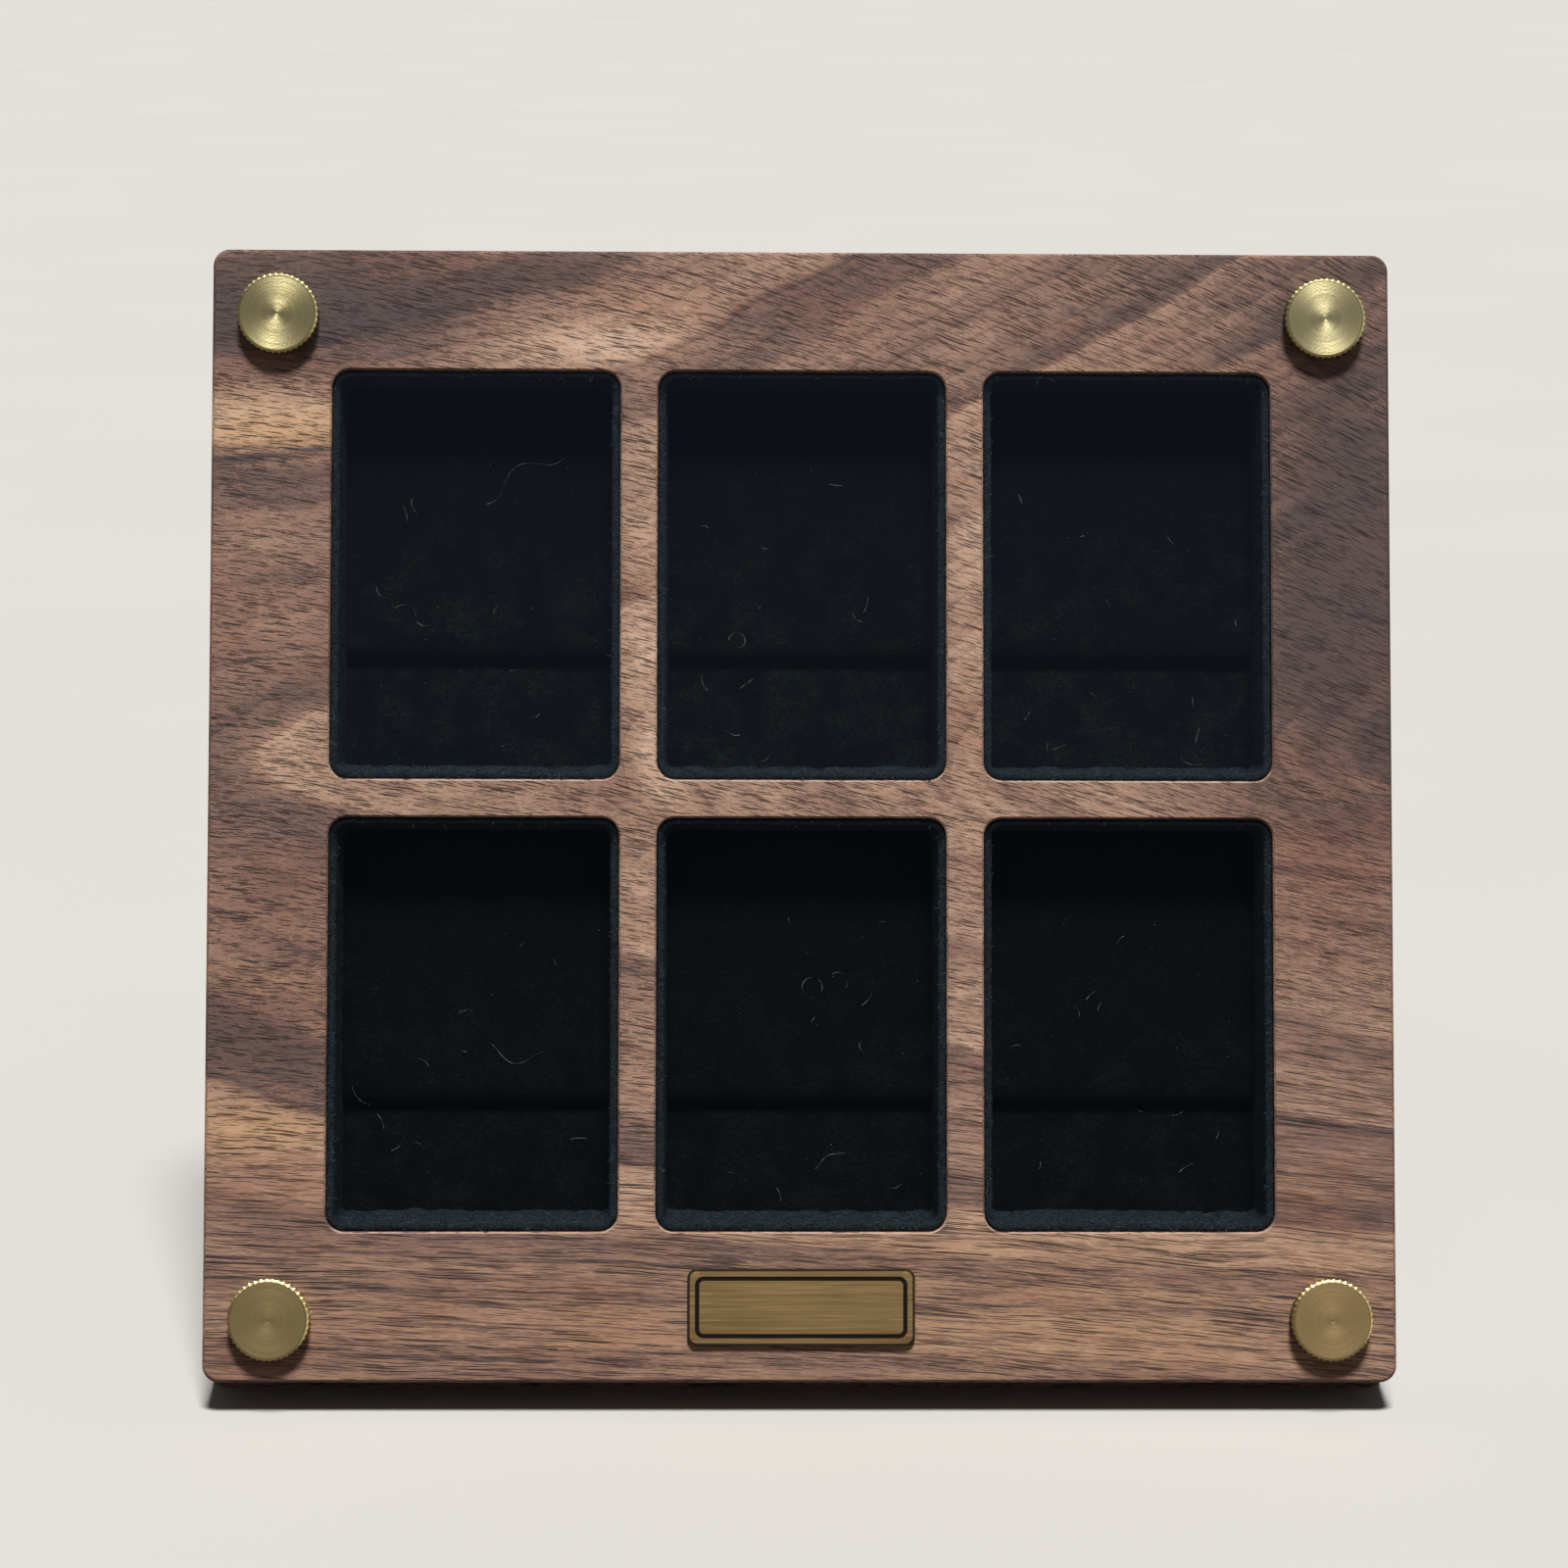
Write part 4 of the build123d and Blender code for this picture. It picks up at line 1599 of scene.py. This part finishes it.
    def _add_insert(self) -> None:
        """Insert with its edges broken."""
        node = f"threaded_insert_{self.number}"
        piece = Piece(f"insert_brass_{self.number}", "case_back", "insert_brass", (node,))
        piece.add_copy(PlainBrass(piece.name).material(), self.insert_round)


@dataclass
class BackBoard:
    """Walnut board behind the frame."""

    edge_round: float = 0.15 * MM
    grain_offset: tuple[float, float, float] = (0.31, 0.12, 0.0)

    def build(self) -> None:
        """Stands a soft-edged copy in for the board."""
        offset = Matrix.Translation(self.grain_offset)
        finish = Walnut("walnut_back", offset @ case.from_frame, Figure.STRAIGHT).material()
        piece = Piece("board_walnut", "case_back", "walnut_back", ("back_board",))
        piece.add_copy(finish, self.edge_round)


@dataclass
class Easel:
    """Folding leg with its bracket, pin and screws."""

    edge_round: float = 0.2 * MM
    bracket_round: float = 0.12 * MM
    grain_offset: tuple[float, float, float] = (0.53, 0.27, 0.0)
    slot_width: float = 0.6 * MM
    slot_depth: float = 0.7 * MM

    def build(self) -> None:
        """Builds the leg and what carries it."""
        self._add_leg()
        for node, slot in (("hinge_bracket", "bracket_brass"), ("hinge_pin", "pin_brass")):
            piece = Piece(f"{node}_worn", "case_back", slot, (node,))
            piece.add_copy(PlainBrass(slot).material(), self.bracket_round)
        self._add_screws()

    def _add_leg(self) -> None:
        """Leg with its grain along its length."""
        fold = next(joint for joint in frame["joints"] if joint["name"] == "leg_fold")
        open_angle = math.radians(fold["range_deg"][1])
        along = Matrix.Rotation(math.radians(90.0), 4, "Z") @ Matrix.Rotation(-open_angle, 4, "X")
        offset = Matrix.Translation(self.grain_offset)
        finish = Walnut("walnut_leg", offset @ along @ case.from_frame, Figure.STRAIGHT).material()
        piece = Piece("leg_walnut", "leg", "walnut_leg", ("easel_leg",))
        piece.add_copy(finish, self.edge_round)

    def _add_screws(self) -> None:
        """Countersunk screws, each with a slot across its head."""
        shape = merged_copy("bracket_screws")
        bmesh.ops.transform(shape, matrix=case.from_frame, verts=shape.verts)
        low, high = case.box("bracket_screws")
        middle = (low.y + high.y) / 2
        for side in (-1.0, 1.0):
            slice_at(shape, (0, middle + side * self.slot_width / 2, 0), (0, 1, 0))
        tops = [
            face for face in shape.faces
            if abs(face.calc_center_median().z - low.z) < WELD_DISTANCE
            and abs(face.calc_center_median().y - middle) < self.slot_width / 2
        ]
        bmesh.ops.translate(shape, vec=(0.0, 0.0, self.slot_depth), verts=push_out(shape, tops)[0])
        bmesh.ops.recalc_face_normals(shape, faces=shape.faces)
        piece = Piece("bracket_screws_slotted", "case_back", "screw_brass", ("bracket_screws",))
        piece.add(shape, PlainBrass("screw_brass").material(), case.to_frame)


@dataclass
class Studio:
    """Camera, lamps and a plain pale floor."""

    place: Vector = Vector((-16.464, -615.886, 220.940)) * MM
    pitch: float = math.radians(12.023)
    yaw: float = math.radians(1.275)
    roll: float = math.radians(0.429)
    lens: float = 101.25
    sensor: float = 36.0
    near_clip: float = 0.01
    floor_tone: str = "c9c6c0"
    floor_cloud_tone: str = "c3c0ba"
    floor_shade: str = "5a534c"
    floor_reach: float = 9.0
    floor_grain: Grain = Grain(6.0)
    world_tone: str = "c8c9cb"
    seen_strength: float = 0.85
    fill_strength: float = 0.12
    key_strength: float = 4.45
    key_spread: float = math.radians(13.0)
    key_elevation: float = math.radians(67.0)
    key_azimuth: float = math.radians(5.0)

    def build(self) -> None:
        """Adds the camera, the lamps and the floor."""
        self._add_camera()
        self._add_floor()
        self._add_lamps()

    def _add_camera(self) -> None:
        """Camera at the photograph's viewing angle, for a square frame."""
        flat = math.cos(self.pitch)
        ahead = Vector((math.sin(self.yaw) * flat, math.cos(self.yaw) * flat, -math.sin(self.pitch)))
        right = ahead.cross(Vector((0, 0, 1))).normalized()
        up = right.cross(ahead)
        across = right * math.cos(self.roll) + up * math.sin(self.roll)
        upward = up * math.cos(self.roll) - right * math.sin(self.roll)
        data = bpy.data.cameras.new("camera")
        data.lens = self.lens
        data.sensor_width = self.sensor
        data.clip_start = self.near_clip
        turn = Matrix((across, upward, -ahead)).transposed().to_4x4()
        camera = linked("camera", data)
        camera.matrix_world = Matrix.Translation(self.place) @ turn
        bpy.context.scene.camera = camera

    def _add_floor(self) -> None:
        """Wide level sheet under the case. It looks pale, and throws back little light."""
        shape = bmesh.new()
        bmesh.ops.create_grid(shape, x_segments=1, y_segments=1, size=self.floor_reach)
        mesh = bpy.data.meshes.new("floor")
        shape.to_mesh(mesh)
        shape.free()
        tree = Tree.of_material("pale_floor")
        clouds = tree.noise(tree.out("ShaderNodeTexCoord", {}, {}, "Object"), self.floor_grain)
        seen = tree.mix(self.floor_tone, self.floor_cloud_tone, clouds)
        colour = tree.mix(self.floor_shade, seen, tree.seen_directly())
        mesh.materials.append(tree.dress(base_color=colour, roughness=0.9, specular_ior_level=0.2))
        linked("floor", mesh)

    def _add_lamps(self) -> None:
        """Soft key light from high in front, and an even grey surround."""
        flat = math.cos(self.key_elevation)
        toward = Vector((math.sin(self.key_azimuth) * flat, -math.cos(self.key_azimuth) * flat, 0.0))
        toward.z = math.sin(self.key_elevation)
        data = bpy.data.lights.new("key", "SUN")
        data.energy = self.key_strength
        data.angle = self.key_spread
        turn = toward.to_track_quat("Z", "Y").to_matrix().to_4x4()
        linked("key", data).matrix_world = Matrix.Translation(toward) @ turn
        tree = Tree(bpy.data.worlds.new("surround"), "BACKGROUND")
        strength = self.fill_strength + (self.seen_strength - self.fill_strength) * tree.seen_directly()
        bpy.context.scene.world = tree.dress(color=linear(self.world_tone), strength=strength)


def main() -> None:
    """Dresses the case and sets the scene."""
    logging.basicConfig(level=logging.INFO, format="%(message)s")
    bpy.context.scene.view_settings.view_transform = "Standard"
    hairs = (
        ((1.1, 11.5, 15.0, 0.1, 0.9, 0.9), (-12.3, -4.1, 4.5, 0.9, -2.6), (-9.0, -6.0, 3.0, -0.9, 1.8)),
        ((-10.5, -8.5, 5.5, 1.5, -4.6), (-8.5, -9.5, 5.0, 0.6, 3.6), (9.3, -4.4, 2.5, 0.9, 0.8)),
        ((-6.0, 22.7, 0.9, 0.7), (-6.0, 7.0, 0.7, 0.3), (17.0, -6.2, 1.0, 1.6), (9.0, -25.5, 3.5, -0.9, 1.2)),
        ((2.1, -2.7, 9.4, -0.6, 0.9, -0.5), (-18.0, -9.0, 4.0, -1.4, 1.2), (-14.5, -13.0, 2.5, -0.8, -0.7)),
        ((3.2, 5.0, 8.0, 1.2, 5.4), (4.8, 7.5, 4.0, 0.6, -2.8), (2.4, -21.0, 5.2, 0.75, -0.5, 0.3)),
        ((14.0, -16.5, 2.5, 0.9, 1.6), (-15.0, -3.0, 2.0, 2.6, 1.8)),
    )
    upper = {}
    lower = {"bloom_tone": "06070a", "wear": 0.5}
    looks = (upper, upper, upper, lower, lower, lower)
    pockets = (
        Pocket(number, tuple(Hair(*row) for row in rows), **look)
        for number, (rows, look) in enumerate(zip(hairs, looks), 1)
    )
    screws = (
        ThumbScrew(1, tone="857c5b", roughness=0.36, scratches=0.15, turn=0.02),
        ThumbScrew(2, tone="8f8766", roughness=0.38, scratches=0.3, turn=0.05, pip=0.05 * MM),
        ThumbScrew(3, tone="8a7855", roughness=0.4, scratches=0.2, turn=0.01, ring_depth=0.014 * MM),
        ThumbScrew(4, tone="9b835c", roughness=0.4, scratches=0.9, turn=0.06, ring_depth=0.014 * MM),
    )
    for part in (FrontFrame(), NamePlate(), *pockets, *screws, BackBoard(), Easel(), Studio()):
        part.build()
        LOG.info("%s done", type(part).__name__)


if __name__ == "__main__":
    main()
